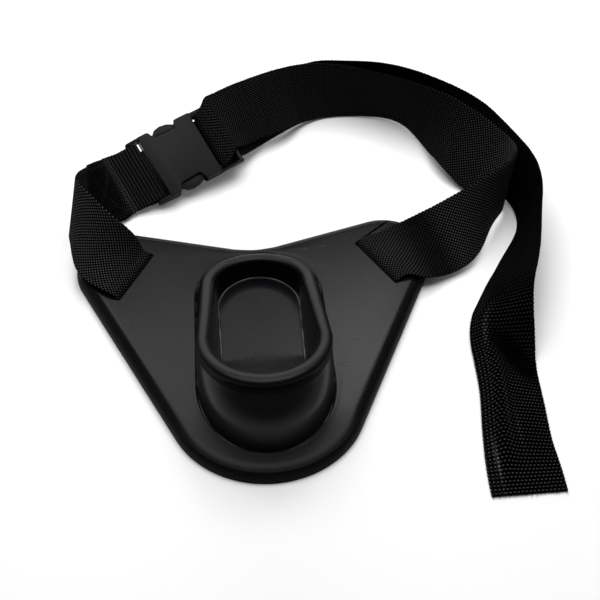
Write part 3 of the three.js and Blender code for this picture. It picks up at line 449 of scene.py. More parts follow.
# low edge x, y, z, high edge x, y, z
SHORT_RUN = [
    (-118.5, -32.1, 15.4, -87.6, 5.4, 26.5), (-125.0, -26.0, 15.0, -91.7, 4.4, 35.6), (-130.1, -19.6, 14.9, -96.8, 4.2, 43.5),
    (-133.7, -12.5, 15.2, -102.5, 5.3, 50.2), (-135.9, -5.3, 15.8, -108.3, 8.4, 55.7), (-137.3, 1.7, 16.4, -114.0, 13.3, 59.8),
    (-138.2, 8.3, 16.7, -119.6, 19.4, 62.5), (-139.1, 14.7, 16.5, -124.9, 26.2, 63.9), (-140.1, 20.7, 16.0, -128.8, 33.4, 63.9),
    (-140.0, 26.7, 15.0, -129.1, 40.7, 62.5), (-136.8, 32.6, 13.8, -126.2, 47.7, 60.2), (-131.3, 37.4, 11.0, -122.5, 54.4, 57.4),
    (-124.2, 41.1, 7.8, -119.3, 61.1, 53.9), (-116.1, 44.3, 5.1, -117.0, 68.1, 49.8), (-107.7, 47.8, 3.1, -115.6, 75.3, 45.1),
    (-99.5, 52.2, 2.6, -114.9, 82.7, 40.0), (-92.2, 58.0, 4.2, -114.6, 90.5, 34.6),
]
LONG_RUN = [
    (-8.7, 104.8, 25.6, -32.3, 141.4, 50.0), (-2.6, 114.3, 19.7, -21.4, 147.5, 51.7), (4.7, 123.0, 15.5, -10.8, 153.6, 52.4),
    (13.5, 130.3, 13.6, -0.4, 159.5, 52.1), (23.3, 136.0, 12.8, 10.1, 165.3, 51.8), (33.2, 141.8, 12.0, 20.8, 170.7, 51.4),
    (41.5, 149.5, 9.3, 32.1, 175.6, 50.9), (48.9, 158.1, 5.5, 43.7, 179.8, 50.3), (58.3, 164.8, 2.9, 55.8, 181.7, 50.0),
    (69.3, 169.1, 1.7, 67.9, 181.2, 50.1), (81.2, 170.5, 1.1, 79.5, 178.0, 50.7), (93.4, 169.9, 1.1, 90.4, 173.1, 51.5),
    (105.4, 168.2, 1.5, 100.9, 167.3, 52.1), (116.8, 164.9, 2.3, 111.2, 161.4, 52.8), (127.2, 159.6, 3.1, 121.5, 155.4, 53.5),
    (135.6, 151.8, 3.3, 131.6, 148.9, 54.0), (141.7, 141.7, 3.4, 141.8, 142.1, 54.2), (145.9, 130.3, 4.0, 152.3, 135.1, 54.0),
    (149.0, 118.2, 5.7, 162.9, 127.9, 53.3), (151.7, 106.2, 8.1, 173.3, 120.4, 51.6), (155.0, 94.6, 10.1, 183.1, 112.5, 49.1),
    (159.4, 83.7, 10.0, 192.1, 104.0, 46.4), (165.6, 73.7, 7.3, 199.9, 95.0, 44.1), (174.1, 65.0, 3.5, 206.0, 85.0, 43.3),
    (185.0, 57.6, 1.1, 209.7, 73.9, 44.7), (195.3, 50.3, 1.1, 210.4, 62.2, 48.1), (199.9, 42.2, 2.8, 207.8, 50.6, 52.0),
    (197.4, 33.3, 4.6, 201.8, 40.0, 54.8), (191.1, 24.4, 5.8, 193.3, 31.0, 56.1), (185.1, 14.7, 6.2, 183.2, 23.5, 56.1),
    (179.9, 4.1, 6.3, 172.2, 17.5, 54.4), (174.4, -6.7, 6.4, 160.7, 13.0, 51.0), (167.4, -16.7, 6.2, 149.4, 10.1, 46.0),
    (158.3, -24.8, 5.6, 138.4, 8.6, 40.1), (147.6, -30.7, 5.4, 127.7, 8.2, 33.7), (136.0, -36.0, 7.9, 116.9, 8.1, 27.1),
    (124.5, -40.0, 12.4, 105.3, 7.7, 20.8), (113.8, -38.9, 15.2, 92.9, 6.4, 15.2),
]
# the last column is the height of the lengthwise crease
TAIL_RUN = [
    (-5.5, 106.2, 14.7, -29.7, 142.2, 39.6, 0.0), (5.9, 122.3, 8.4, -12.8, 151.9, 44.2, 0.0), (25.7, 143.5, 4.1, 12.5, 166.1, 46.7, 0.0),
    (47.4, 162.5, 1.4, 38.0, 179.4, 47.5, 0.0), (72.0, 177.7, 1.2, 66.2, 184.6, 50.3, 0.0), (84.3, 181.3, 1.2, 79.5, 182.5, 51.1, 0.0),
    (96.8, 183.2, 1.8, 92.4, 179.9, 51.9, 0.0), (109.3, 183.0, 2.8, 105.1, 176.9, 52.7, 0.0), (121.6, 180.7, 3.6, 117.6, 173.1, 53.3, 0.0),
    (133.1, 176.1, 3.9, 129.5, 168.2, 53.5, 0.0), (143.6, 169.4, 3.5, 141.1, 162.2, 53.3, 0.0), (152.6, 160.8, 2.7, 152.2, 155.3, 52.9, 0.0),
    (160.1, 150.7, 1.8, 163.1, 147.8, 52.0, 0.0), (166.1, 139.5, 1.2, 173.8, 139.9, 50.9, 0.0), (171.0, 127.6, 1.1, 184.2, 131.4, 49.5, 0.0),
    (175.2, 115.5, 1.2, 193.6, 122.2, 47.8, 0.0), (179.2, 103.4, 1.3, 201.3, 111.8, 45.9, 0.0), (183.6, 91.7, 1.2, 207.3, 100.3, 44.7, 0.0),
    (188.9, 80.4, 1.1, 212.0, 88.1, 44.8, 0.0), (195.1, 69.6, 1.1, 215.4, 75.3, 46.3, 0.0), (201.5, 59.1, 1.3, 218.3, 62.1, 48.3, 0.0),
    (206.8, 48.1, 1.5, 220.5, 48.7, 49.9, 0.0), (209.6, 36.4, 1.5, 221.5, 35.1, 50.5, 0.0), (209.4, 24.4, 1.3, 220.8, 21.5, 50.4, 0.0),
    (206.0, 12.9, 1.1, 218.5, 8.1, 49.8, 0.0), (200.1, 1.9, 1.1, 215.3, -5.1, 48.5, 0.0), (193.0, -8.8, 1.3, 212.2, -18.2, 46.8, 0.0),
    (186.0, -19.7, 1.6, 209.3, -31.2, 44.8, 0.0), (179.2, -30.8, 1.9, 206.0, -43.9, 42.5, 0.0), (172.1, -41.8, 2.4, 202.0, -56.3, 40.3, 0.0),
    (162.9, -57.9, 2.4, 195.5, -74.0, 37.9, 0.6), (154.0, -75.0, 2.4, 192.5, -90.7, 29.4, 4.0), (149.3, -95.1, 2.0, 193.1, -103.4, 13.4, 9.0),
    (148.5, -114.9, 1.6, 191.7, -118.5, 2.4, 11.5), (147.1, -143.1, 1.4, 189.9, -146.1, 1.4, 11.0), (142.0, -180.3, 1.3, 187.9, -182.6, 1.3, 7.0),
    (139.2, -208.6, 1.2, 188.7, -209.5, 1.2, 1.5), (138.7, -227.4, 1.2, 188.7, -227.1, 1.2, 0.2),
]
CREASE = [(0, 0), (0.14, 0.52), (0.28, 1), (0.48, 0.5), (0.74, 0.24), (1, 0)]
SLOT_PASS = [(-4, 4.2), (-14, 4.2), (-24, 4.2), (-26.4, 4.7), (-26.6, 6.0), (-24, 6.7), (-14, 6.7), (-5, 6.7), (0, 7.1), (2.2, 8.6),
             (2.9, 10.8), (4.0, 13.2), (6.8, 14.6)]
# x, z, slide, skew in the buckle's frame
SOCKET_LOOP = [(-41.5, 1.7), (-36.5, 2.55), (-32.2, 2.85), (-28.2, 2.2), (-26.7, 0.2), (-27.7, -2.0), (-31.4, -3.3), (-35.4, -3.1), (-39.8, -1.6)]
ADJUSTER_LOOP = [(38, 4.1, 4.6, 0.7), (33.8, 4.0, 1.9, 0.4), (30.6, 3.5, 0.3), (27.7, 2.2), (26.7, 0), (27.5, -2.2), (30.2, -3.6, 0.0),
                 (34.4, -4.1, 0.1, 0.0), (39, -4.5, 0.2, 0.2)]
BUCKLE = (Matrix.Translation((-54.65, 100.62, 24.22)) @ Matrix.Rotation(26.83 * deg, 4, "Z")
          @ Matrix.Rotation(-7.94 * deg, 4, "Y") @ Matrix.Rotation(29.76 * deg, 4, "X"))
BUCKLE_NP = np.array(BUCKLE)


def in_buckle(points):
    p = np.asarray(points, float)
    return p @ BUCKLE_NP[:3, :3].T + BUCKLE_NP[:3, 3]


def catmull(rows, u):
    p = np.vstack([2 * rows[0] - rows[1], rows, 2 * rows[-1] - rows[-2]])
    x = np.clip(u, 0, 1) * (len(rows) - 1)
    i = np.minimum(x.astype(int), len(rows) - 2)
    w = (x - i)[:, None]
    a, b, c, d = p[i], p[i + 1], p[i + 2], p[i + 3]
    m0, m1 = (c - a) / 2, (d - b) / 2
    return b + m0 * w + (3 * (c - b) - 2 * m0 - m1) * w ** 2 + (2 * (b - c) + m0 + m1) * w ** 3


def along(table, spacing):
    """Even sections (low, high, ridge) along a table of webbing edges."""
    rows = np.array([(*r[:6], r[6] if len(r) > 6 else 0.0) for r in table], float)
    fine = catmull(rows, np.linspace(0, 1, 601))
    mid = (fine[:, :3] + fine[:, 3:6]) / 2
    s = np.append(0, np.cumsum(np.linalg.norm(np.diff(mid, axis=0), axis=1)))
    count = max(2, round(s[-1] / spacing))
    at = np.interp(np.linspace(0, s[-1], count + 1), s, np.linspace(0, 1, 601))
    out = catmull(rows, at)
    out[:, 6] = np.maximum(out[:, 6], 0)
    return out


def slot_sections(side):
    mid, t, n, _ = slot_frame(side)
    out = []
    for d, z in SLOT_PASS:
        p = lambda s: (*(mid + t * s + n * d), z)
        out.append((*p(WEB_WIDTH / 2), *p(-WEB_WIDTH / 2), 0))
    return np.array(out)


def buckle_sections(rows):
    out = []
    for r in rows:
        x, z, slide, skew = (*r, 0, 0)[:4]
        out.append((*in_buckle([x + skew, -WEB_WIDTH / 2 + slide, z]), *in_buckle([x - skew, WEB_WIDTH / 2 + slide, z]), 0))
    return np.array(out)


def resample(knots, pitch):
    """Smooth run through unevenly spaced sections, then even sections one pick apart."""
    mid = (knots[:, :3] + knots[:, 3:6]) / 2
    h = np.linalg.norm(np.diff(mid, axis=0), axis=1) + 1e-6
    s = np.append(0, np.cumsum(h))
    slope = np.diff(knots, axis=0) / h[:, None]
    m = np.empty_like(knots)
    m[1:-1] = (slope[1:] * h[:-1, None] + slope[:-1] * h[1:, None]) / (h[1:] + h[:-1])[:, None]
    m[0], m[-1] = slope[0], slope[-1]

    def value(x):
        i = np.clip(np.searchsorted(s, x) - 1, 0, len(h) - 1)
        w = ((x - s[i]) / h[i])[:, None]
        hh = h[i][:, None]
        return (knots[i] * (2 * w ** 3 - 3 * w ** 2 + 1) + m[i] * hh * (w ** 3 - 2 * w ** 2 + w)
                + knots[i + 1] * (3 * w ** 2 - 2 * w ** 3) + m[i + 1] * hh * (w ** 3 - w ** 2))

    x = np.linspace(0, s[-1], 12001)
    fine = value(x)
    c = (fine[:, :3] + fine[:, 3:6]) / 2
    t = np.append(0, np.cumsum(np.linalg.norm(np.diff(c, axis=0), axis=1)))
    count = round(t[-1] / pitch)
    return value(np.interp(np.linspace(0, t[-1], count + 1), t, x)), t[-1], (lambda k: float(np.interp(s[k], x, t)))


def unit(v):
    return v / (np.linalg.norm(v, axis=-1, keepdims=True) + 1e-12)


PICK = 1.4           # weft spacing
WARPS = 38           # warp columns across the webbing


def short_knots():
    run = along(SHORT_RUN, 7.5)
    loop = buckle_sections(SOCKET_LOOP)
    front = np.vstack([slot_sections(-1), run, loop])
    back = []
    for i in range(len(run) - 1, len(run) - 7, -1):
        before, after = run[i - 1], (run[i + 1] if i + 1 < len(run) else loop[0])
        d = unit(after[:3] + after[3:6] - before[:3] - before[3:6])
        c = unit(run[i, 3:6] - run[i, :3])
        off = unit(np.cross(d, c)) * -(WEB_THICK + FOLD_GAP)
        back.append((*(run[i, :3] + off), *(run[i, 3:6] + off), 0))
    return np.vstack([front, np.array(back)]), {"run": (13, 13 + len(run) - 1)}


def long_knots():
    run = along(LONG_RUN, 9)[::-1]
    tail = along(TAIL_RUN, 9.5)
    return np.vstack([slot_sections(1), run, buckle_sections(ADJUSTER_LOOP), tail]), {
        "run": (13, 13 + len(run) - 1), "tail": (13 + len(run) + 9, 13 + len(run) + 9 + len(tail) - 1)}


# ------------------------------------------------------------------ webbing meshes
SHARE_F = np.linspace(0, 1, 201)
SHARE = np.interp(SHARE_F, [c[0] for c in CREASE], [c[1] for c in CREASE])
for _ in range(60):
    SHARE[1:-1] = (SHARE[:-2] + 2 * SHARE[1:-1] + SHARE[2:]) / 4


class Web:
    """One strip of webbing: even sections one pick apart, a column per warp."""

    def __init__(self, name, sections, lift=None, marks=None, relief=0.13):
        self.sections = sections
        n = len(sections)
        f = np.concatenate([[0], (np.arange(WARPS) + 0.5) / WARPS, [1]])
        self.f, self.n = f, n
        low, high, ridge = sections[:, :3], sections[:, 3:6], np.maximum(sections[:, 6], 0)
        mid = (low + high) / 2
        self.s = np.append(0, np.cumsum(np.linalg.norm(np.diff(mid, axis=0), axis=1)))
        d = unit(np.gradient(mid, axis=0))
        up = unit(np.cross(d, unit(high - low)))
        height = ridge[:, None] * np.interp(f, SHARE_F, SHARE)[None, :]
        if lift is not None:
            height = height + lift(self.s[:, None], f[None, :])
        c = low[:, None] + (high - low)[:, None] * f[None, :, None] + up[:, None] * height[:, :, None]
        self.mid = c
        self.normal = self.normals(c)
        i, j = np.arange(n)[:, None], np.arange(len(f))[None, :]
        rel = relief * (-1.0) ** (i + j)
        if marks and "rib" in marks:
            rib = np.clip(marks["rib"](self.s[:, None], f[None, :], 1.0), 0, 1)
            rel = rel * (1 - rib) + 0.24 * (-1.0) ** (i + 0 * j) * rib
        rel[:, 0] = rel[:, -1] = 0
        half = np.full(len(f), WEB_THICK / 2 - 0.17)
        half[[1, -2]] = 0.66
        half[[0, -1]] = 0.34
        out = unit(high - low)[:, None] * np.zeros((1, len(f), 1))
        scallop = (0.20 * (-1.0) ** np.arange(n) + rng.normal(0, 0.06, n))[:, None]
        out[:, 0] = -unit(high - low) * scallop
        out[:, -1] = unit(high - low) * scallop
        self.upper = c + self.normal * (half[None, :] + rel)[:, :, None] + out
        self.under = c - self.normal * (half[None, :] - rel)[:, :, None] + out
        cols = len(f)
        loops = np.concatenate([self.upper, self.under[:, ::-1]], axis=1)
        m = 2 * cols
        pts = loops.reshape(-1, 3)
        faces, uvs = [], []
        u_of = np.concatenate([f * WARPS, f[::-1] * WARPS + 1])
        v_of = np.arange(n, dtype=float)
        for r in range(n - 1):
            a, b = r * m, (r + 1) * m
            for k in range(m):
                l = (k + 1) % m
                faces.append((a + k, a + l, b + l, b + k))
                ua, ub = u_of[k], u_of[l]
                if k == cols - 1:
                    ub = ua
                if k == m - 1:
                    ub = ua
                uvs += [(ua, v_of[r]), (ub, v_of[r]), (ub, v_of[r + 1]), (ua, v_of[r + 1])]
        for r, flip in ((0, True), (n - 1, False)):
            for k in range(cols - 1):
                q = [r * m + k, r * m + k + 1, r * m + m - 2 - k, r * m + m - 1 - k]
                w = [(u_of[k], v_of[r]), (u_of[k + 1], v_of[r]), (u_of[k + 1], v_of[r] + 1), (u_of[k], v_of[r] + 1)]
                if flip:
                    q, w = q[::-1], w[::-1]
                faces.append(tuple(q))
                uvs += w
        turned = outward(pts[:, :], faces[:1] + faces[1:])
        if turned is not faces and turned[0] != faces[0]:
            faces = turned
            uvs = [uvs[4 * i + 3 - k] for i in range(len(faces)) for k in range(4)]
        ob = new_object(name, pts, faces, 70)
        layer = ob.data.uv_layers.new(name="weave")
        layer.data.foreach_set("uv", np.array(uvs, dtype=np.float32).ravel())
        ss = np.repeat(self.s[:, None], m, 1)
        ff = np.repeat(np.concatenate([f, f[::-1]])[None, :], n, 0)
        top = np.repeat(np.concatenate([np.ones(cols), np.zeros(cols)])[None, :], n, 0)
        for key, fn in (marks or {}).items():
            at = ob.data.attributes.new(key, "FLOAT", "POINT")
            at.data.foreach_set("value", np.clip(fn(ss, ff, top), 0, 1).astype(np.float32).ravel())
        self.object = ob

    @staticmethod
    def normals(c):
        a = np.gradient(c, axis=0)
        b = np.gradient(c, axis=1)
        return unit(np.cross(a, b))

    def at(self, s, f, side=1, rise=0.0):
        """Point and normal on a face at s millimetres along and fraction f across."""
        i = np.interp(s, self.s, np.arange(self.n))
        j = np.interp(f, self.f, np.arange(len(self.f)))
        i0 = min(int(i), self.n - 2)
        j0 = min(int(j), len(self.f) - 2)
        a, b = i - i0, j - j0

        def pick(g):
            return ((1 - a) * (1 - b) * g[i0, j0] + a * (1 - b) * g[i0 + 1, j0]
                    + (1 - a) * b * g[i0, j0 + 1] + a * b * g[i0 + 1, j0 + 1])

        nrm = unit(pick(self.normal)) * side
        return pick(self.mid) + nrm * (WEB_THICK / 2 + rise), nrm


def tube(points, radius, sides=6):
    """Vertices and faces of a closed thread through points."""
    p = np.asarray(points, float)
    d = unit(np.gradient(p, axis=0))
    ref = np.array([0.31, 0.23, 0.92])
    a = unit(np.cross(d, ref))
    b = np.cross(d, a)
    k = np.arange(sides) / sides * 2 * math.pi
    r = radius * np.ones(len(p))
    r[[0, -1]] *= 0.45
    rings = p[:, None] + (a[:, None] * np.cos(k)[None, :, None] + b[:, None] * np.sin(k)[None, :, None]) * r[:, None, None]
    faces = ring_faces(len(p), sides, False)
    faces = [tuple(reversed(q)) for q in faces]
    faces += [tuple(range(sides)), tuple(reversed(range((len(p) - 1) * sides, len(p) * sides)))]
    return rings.reshape(-1, 3), faces


def threads(name, runs, radius, sides=6):
    pts, faces = [], []
    base = 0
    for r in runs:
        v, f = tube(r, radius, sides)
        f = outward(v, f)
        pts.append(v)
        faces += [tuple(i + base for i in q) for q in f]
        base += len(v)
    return new_object(name, np.vstack(pts), faces, 80)


def stitch_line(web, a, b, side=1, pitch=2.9, gap=0.7, wander=0.12, width_mm=WEB_WIDTH):
    """Stitches from a to b, each (s, f); every stitch dips into the webbing at its ends."""
    a, b = np.array(a, float), np.array(b, float)
    length = math.hypot(b[0] - a[0], (b[1] - a[1]) * width_mm)
    count = max(1, round(length / pitch))
    out = []
    for k in range(count):
        t0, t1 = (k + gap / pitch / 2) / count, (k + 1 - gap / pitch / 2) / count
        shift = rng.normal(0, wander, 2)
        run = []
        for w in np.linspace(0, 1, 5):
            q = a + (b - a) * (t0 + (t1 - t0) * w)
            rise = -0.30 + 0.50 * math.sin(math.pi * w) ** 0.6
            p, _ = web.at(q[0] + shift[0], q[1] + shift[1] / width_mm, side, rise)
            run.append(p)
        out.append(run)
    return out


# ------------------------------------------------------------------ buckle
HALF, INNER, FACE = 28.2, 25.8, 5.5


def joined(name, objects):
    bm = bmesh.new()
    for o in objects:
        bm.from_mesh(o.data)
    mesh = bpy.data.meshes.new(name)
    bm.to_mesh(mesh)
    bm.free()
    for o in objects:
        bpy.data.objects.remove(o)
    ob = bpy.data.objects.new(name, mesh)
    bpy.context.scene.collection.objects.link(ob)
    return ob


def united(name, objects):
    first = objects[0]
    for o in objects[1:]:
        boolean(first, o, "UNION")
    first.name = name
    first.data.name = name
    sharpen(first.data, 38)
    return first


def rect(x0, x1, y0, y1, r=0.5):
    return fillet([(x0, y0), (x1, y0), (x1, y1), (x0, y1)], r, 3)


def make_socket():
    edge = [(23.4, HALF - 0.3), (10.4, HALF - 0.3), (9.4, HALF - 1.0), (7.2, 21.4), (6.0, 20.7), (-9.6, 21.5), (-11.4, 22.4), (-13.9, HALF - 0.6),
            (-15.2, HALF), (-23.4, HALF)]
    soft = [0.8, 1.2, 1.6, 2.6, 2.8, 3.2, 3.2, 1.6, 1.2, 0.8]
    outline = edge + [(x, -y) for x, y in reversed(edge)]
    ring = fillet(outline, soft + soft[::-1], 5)
    skin = 2.2
    parts = [slab("a", ring, FACE - skin, FACE, 0.55, 4, in_buckle), slab("b", ring, -FACE, -FACE + skin, 0.55, 4, in_buckle),
             slab("c", rect(-23.3, -20.6, -HALF + 0.2, HALF - 0.2), -FACE + 1.1, FACE - 1.1, 0.2, 2, in_buckle),
             slab("e", rect(-25.7, -22.4, -INNER + 0.1, 19.2), -FACE + 0.05, -3.5, 0.3, 2, in_buckle),
             slab("f", rect(22.6, 27.6, -HALF + 0.6, 22.0), -FACE + 0.05, -4.6, 0.3, 2, in_buckle)]
    for s in (1, -1):
        ya, yb = sorted((s * INNER, s * (HALF - 0.35)))
        for x0, x1 in ((-22.6, -15.2), (10.8, 23.1)):
            parts.append(slab("w", rect(x0, x1, ya, yb), -FACE + 1.1, FACE - 1.1, 0.25, 2, in_buckle))
        cheek = fillet([(-22.5, 4.9), (-26.5, 4.3), (-32.6, 3.2), (-34.3, 2.0), (-34.6, -2.6), (-33.4, -4.2), (-26.5, -4.9), (-22.5, -4.9)], 1.1, 4)
        y0 = INNER if s > 0 else -HALF
        side = lambda q, y0=y0: in_buckle(np.column_stack([q[:, 0], y0 + q[:, 2], q[:, 1]]))
        parts.append(slab("k", cheek, 0, HALF - INNER, 0.5, 4, side))
    bar = fillet([(-33.7, -1.0), (-32.9, -1.8), (-31.1, -1.8), (-30.3, -1.0), (-30.3, 0.8), (-31.1, 1.6), (-32.9, 1.6), (-33.7, 0.8)], 0.5, 3)
    across = lambda q: in_buckle(np.column_stack([q[:, 0], -INNER - 0.6 + q[:, 2], q[:, 1]]))
    parts.append(slab("d", bar, 0, 2 * INNER + 1.2, 0.05, 1, across))
    return united("buckle_body", parts)


def make_prongs():
    low, high = -2.3, 2.1
    prong = [(15.4, 17.2), (15.4, 21.6), (10.2, 23.2), (7.6, 26.2), (3, 28.4), (-3, 29.2), (-8, 28.0), (-11.4, 24.8), (-12.7, 22.2), (-12.7, 19.4),
             (-9, 18.5), (0, 18.2)]
    rail = [(15.2, 22.2), (15.2, 25.25), (23.75, 25.25), (23.75, HALF), (44.6, HALF), (44.6, INNER), (25.4, INNER), (24.9, 22.2)]
    tongue = [(15.4, -3.6), (15.4, 3.6), (-13, 3.0), (-14.6, 1.6), (-14.6, -1.6), (-13, -3.0)]
    parts = [slab("a", rect(15.0, 20.6, -25.3, 25.3), low, 2.7, 0.4, 3, in_buckle), slab("b", fillet(tongue, 1.0, 4), -1.8, 1.8, 0.5, 3, in_buckle)]
    for s in (1, -1):
        turn = lambda q, s=s: in_buckle(np.column_stack([q[:, 0] + 0.013 * s, s * q[:, 1], q[:, 2]]))
        parts.append(slab("p", fillet(prong, 1.6, 5), low + 0.07, 2.62, 0.7, 4, turn))
        parts.append(slab("r", fillet(rail, [0.3, 0.3, 0.3, 0.6, 1.0, 0.5, 1.0, 0.3], 4), low, high, 0.5, 4, turn))
        # grip step on each release pad
        pad = fillet([(5.6, 23.6), (2.4, 26.4), (-2.8, 27.3), (-7.2, 26.2), (-9.6, 23.4), (-9.0, 22.6), (4.6, 22.2)], 1.0, 4)
        parts.append(slab("g", pad, 2.0, 3.05, 0.3, 3, turn))
    for x0, x1, z0, z1 in ((28.2, 31.8, -1.9, 1.7), (41.2, 44.5, low + 0.1, high - 0.1)):
        c = 0.8
        bar = fillet([(x0, z0 + c), (x0 + c, z0), (x1 - c, z0), (x1, z0 + c), (x1, z1 - c), (x1 - c, z1), (x0 + c, z1), (x0, z1 - c)], 0.5, 3)
        across = lambda q: in_buckle(np.column_stack([q[:, 0], -INNER - 0.6 + q[:, 2], q[:, 1]]))
        parts.append(slab("d", bar, 0, 2 * INNER + 1.2, 0.05, 1, across))
    return united("buckle_tongue", parts)


# ------------------------------------------------------------------ materials
class Nodes:
    def __init__(self, name):
        self.material = bpy.data.materials.new(name)
        self.material.use_nodes = True
        self.tree = self.material.node_tree
        self.shader = self.tree.nodes["Principled BSDF"]

    def node(self, kind, **values):
        n = self.tree.nodes.new(kind)
        for k, v in values.items():
            if k in n.inputs:
                n.inputs[k].default_value = v
            else:
                setattr(n, k, v)
        return n

    def link(self, a, b):
        self.tree.links.new(a, b)

    def put(self, target, value):
        if hasattr(value, "links"):
            self.link(value, target)
        else:
            target.default_value = value

    def math(self, how, a, b=0.0, c=0.0, clamp=False):
        n = self.tree.nodes.new("ShaderNodeMath")
        n.operation = how
        n.use_clamp = clamp
        for i, v in enumerate((a, b, c)):
            if i < len(n.inputs):
                self.put(n.inputs[i], v)
        return n.outputs[0]

    def ramp(self, value, a, b, lo=0.0, hi=1.0):
        n = self.tree.nodes.new("ShaderNodeMapRange")
        n.interpolation_type = "SMOOTHSTEP"
        for key, v in (("Value", value), ("From Min", a), ("From Max", b), ("To Min", lo), ("To Max", hi)):
            self.put(n.inputs[key], v)
        return n.outputs[0]

    def mix(self, t, a, b):
        n = self.tree.nodes.new("ShaderNodeMix")
        n.data_type = "RGBA"
        self.put(n.inputs[0], t)
        self.put(n.inputs[6], a)
        self.put(n.inputs[7], b)
        return n.outputs[2]

    def noise(self, vector, scale, detail=3.0, rough=0.55):
        n = self.tree.nodes.new("ShaderNodeTexNoise")
        self.link(vector, n.inputs["Vector"])
        n.inputs["Scale"].default_value = scale
        n.inputs["Detail"].default_value = detail
        n.inputs["Roughness"].default_value = rough
        return n.outputs["Fac"]

    def stretch(self, vector, scale, turn=(0, 0, 0)):
        n = self.tree.nodes.new("ShaderNodeMapping")
        self.link(vector, n.inputs["Vector"])
        n.inputs["Scale"].default_value = scale
        n.inputs["Rotation"].default_value = turn
        return n.outputs["Vector"]

    def bump(self, height, distance, strength=1.0, normal=None):
        n = self.tree.nodes.new("ShaderNodeBump")
        n.inputs["Distance"].default_value = distance
        n.inputs["Strength"].default_value = strength
        self.put(n.inputs["Height"], height)
        if normal is not None:
            self.link(normal, n.inputs["Normal"])
        return n.outputs["Normal"]

    def here(self):
        return self.tree.nodes.new("ShaderNodeTexCoord").outputs["Object"]


def moulded(name, lines=False, shaded_copy=False, dull_and_painted_light=False, gloss=0.12):
    m = Nodes(name)
    at = m.here()
    s = m.shader
    s.inputs["IOR"].default_value = 1.5
    # the shaded copy reflects little: painted shade for edges that turn away from the light
    s.inputs["Specular IOR Level"].default_value = 0.03 if shaded_copy else gloss
    fine = m.noise(at, 2600, 2)
    cloud = m.noise(at, 22, 3)
    scratch = m.noise(m.stretch(at, (900, 60, 300), (0.3, 0.2, 0.6)), 1.0, 3, 0.6)
    hair = m.ramp(scratch, 0.70, 0.78)
    dust = m.ramp(m.noise(at, 900, 2, 0.5), 0.735, 0.78)
    scuffs = m.math("MULTIPLY", m.ramp(m.noise(m.stretch(at, (60, 300, 240), (0, 0, 0.12)), 1.0, 4, 0.7), 0.60, 0.80), m.ramp(m.noise(at, 35, 2), 0.42, 0.62))
    rough = m.math("ADD", 0.17, m.math("MULTIPLY", cloud, 0.08))
    rough = m.math("ADD", rough, m.math("MULTIPLY", scuffs, 0.16))
    rough = m.math("ADD", rough, m.math("MULTIPLY", fine, 0.05))
    if shaded_copy:
        rough = m.math("ADD", rough, 0.25)
    if dull_and_painted_light:
        away = m.tree.nodes.new("ShaderNodeVectorMath")
        away.operation = "DISTANCE"
        m.link(at, away.inputs[0])
        away.inputs[1].default_value = tuple(P((0, -146.0, SHIELD_TOP)))
        place = m.tree.nodes.new("ShaderNodeSeparateXYZ")
        m.link(at, place.inputs[0])
        near = m.ramp(away.outputs["Value"], 0.050, 0.068, 1.0, 0.0)
        near = m.math("MULTIPLY", near, m.ramp(place.outputs["Y"], float(P((0, -184, 0))[1]), float(P((0, -148, 0))[1]), 1.0, 0.0))
        rough = m.math("ADD", rough, m.math("MULTIPLY", near, 0.26))
    flash_and_highlight = roll = None
    if lines:
        flash_and_highlight, roll = (m.tree.nodes.new("ShaderNodeAttribute") for _ in range(2))
        flash_and_highlight.attribute_name, roll.attribute_name = "flash_and_highlight", "roll"
        rough = m.math("ADD", rough, m.math("MULTIPLY", roll.outputs["Fac"], 0.17))
    m.link(rough, s.inputs["Roughness"])
    col = m.mix(cloud, (0.0022, 0.0024, 0.0030, 1), (0.0036, 0.0039, 0.0047, 1))
    col = m.mix(m.math("MULTIPLY", scuffs, 0.35), col, (0.040, 0.041, 0.044, 1))
    col = m.mix(m.math("MULTIPLY", m.math("MAXIMUM", dust, hair), 0.35), col, (0.11, 0.11, 0.11, 1))
    # painted light: besides its rougher finish, the plate in front of the cup is coloured lighter, standing in for
    # light it misses where it reflects the dark cup wall
    if dull_and_painted_light:
        col = m.mix(near, col, (0.0150, 0.0152, 0.0162, 1))
    if lines:
        # painted highlight: light colour on the flash ridges
        col = m.mix(flash_and_highlight.outputs["Fac"], col, (0.20, 0.20, 0.21, 1))
    m.link(col, s.inputs["Base Color"])
    n = m.bump(fine, 0.00002, 0.5)
    n = m.bump(scuffs, 0.00004, 0.6, n)
    n = m.bump(hair, 0.00003, 0.4, n)
    m.link(n, s.inputs["Normal"])
    return m.material


def clip_plastic(name):
    m = Nodes(name)
    at = m.here()
    s = m.shader
    grain = m.noise(at, 1900, 3, 0.6)
    cloud = m.noise(at, 60, 3)
    col = m.mix(cloud, (0.0042, 0.0043, 0.0050, 1), (0.0065, 0.0066, 0.0076, 1))
    m.link(col, s.inputs["Base Color"])
    m.link(m.math("ADD", 0.40, m.math("MULTIPLY", grain, 0.16)), s.inputs["Roughness"])
    s.inputs["IOR"].default_value = 1.48
    s.inputs["Specular IOR Level"].default_value = 0.12
    n = m.bump(grain, 0.00004, 0.7)
    m.link(n, s.inputs["Normal"])
    return m.material


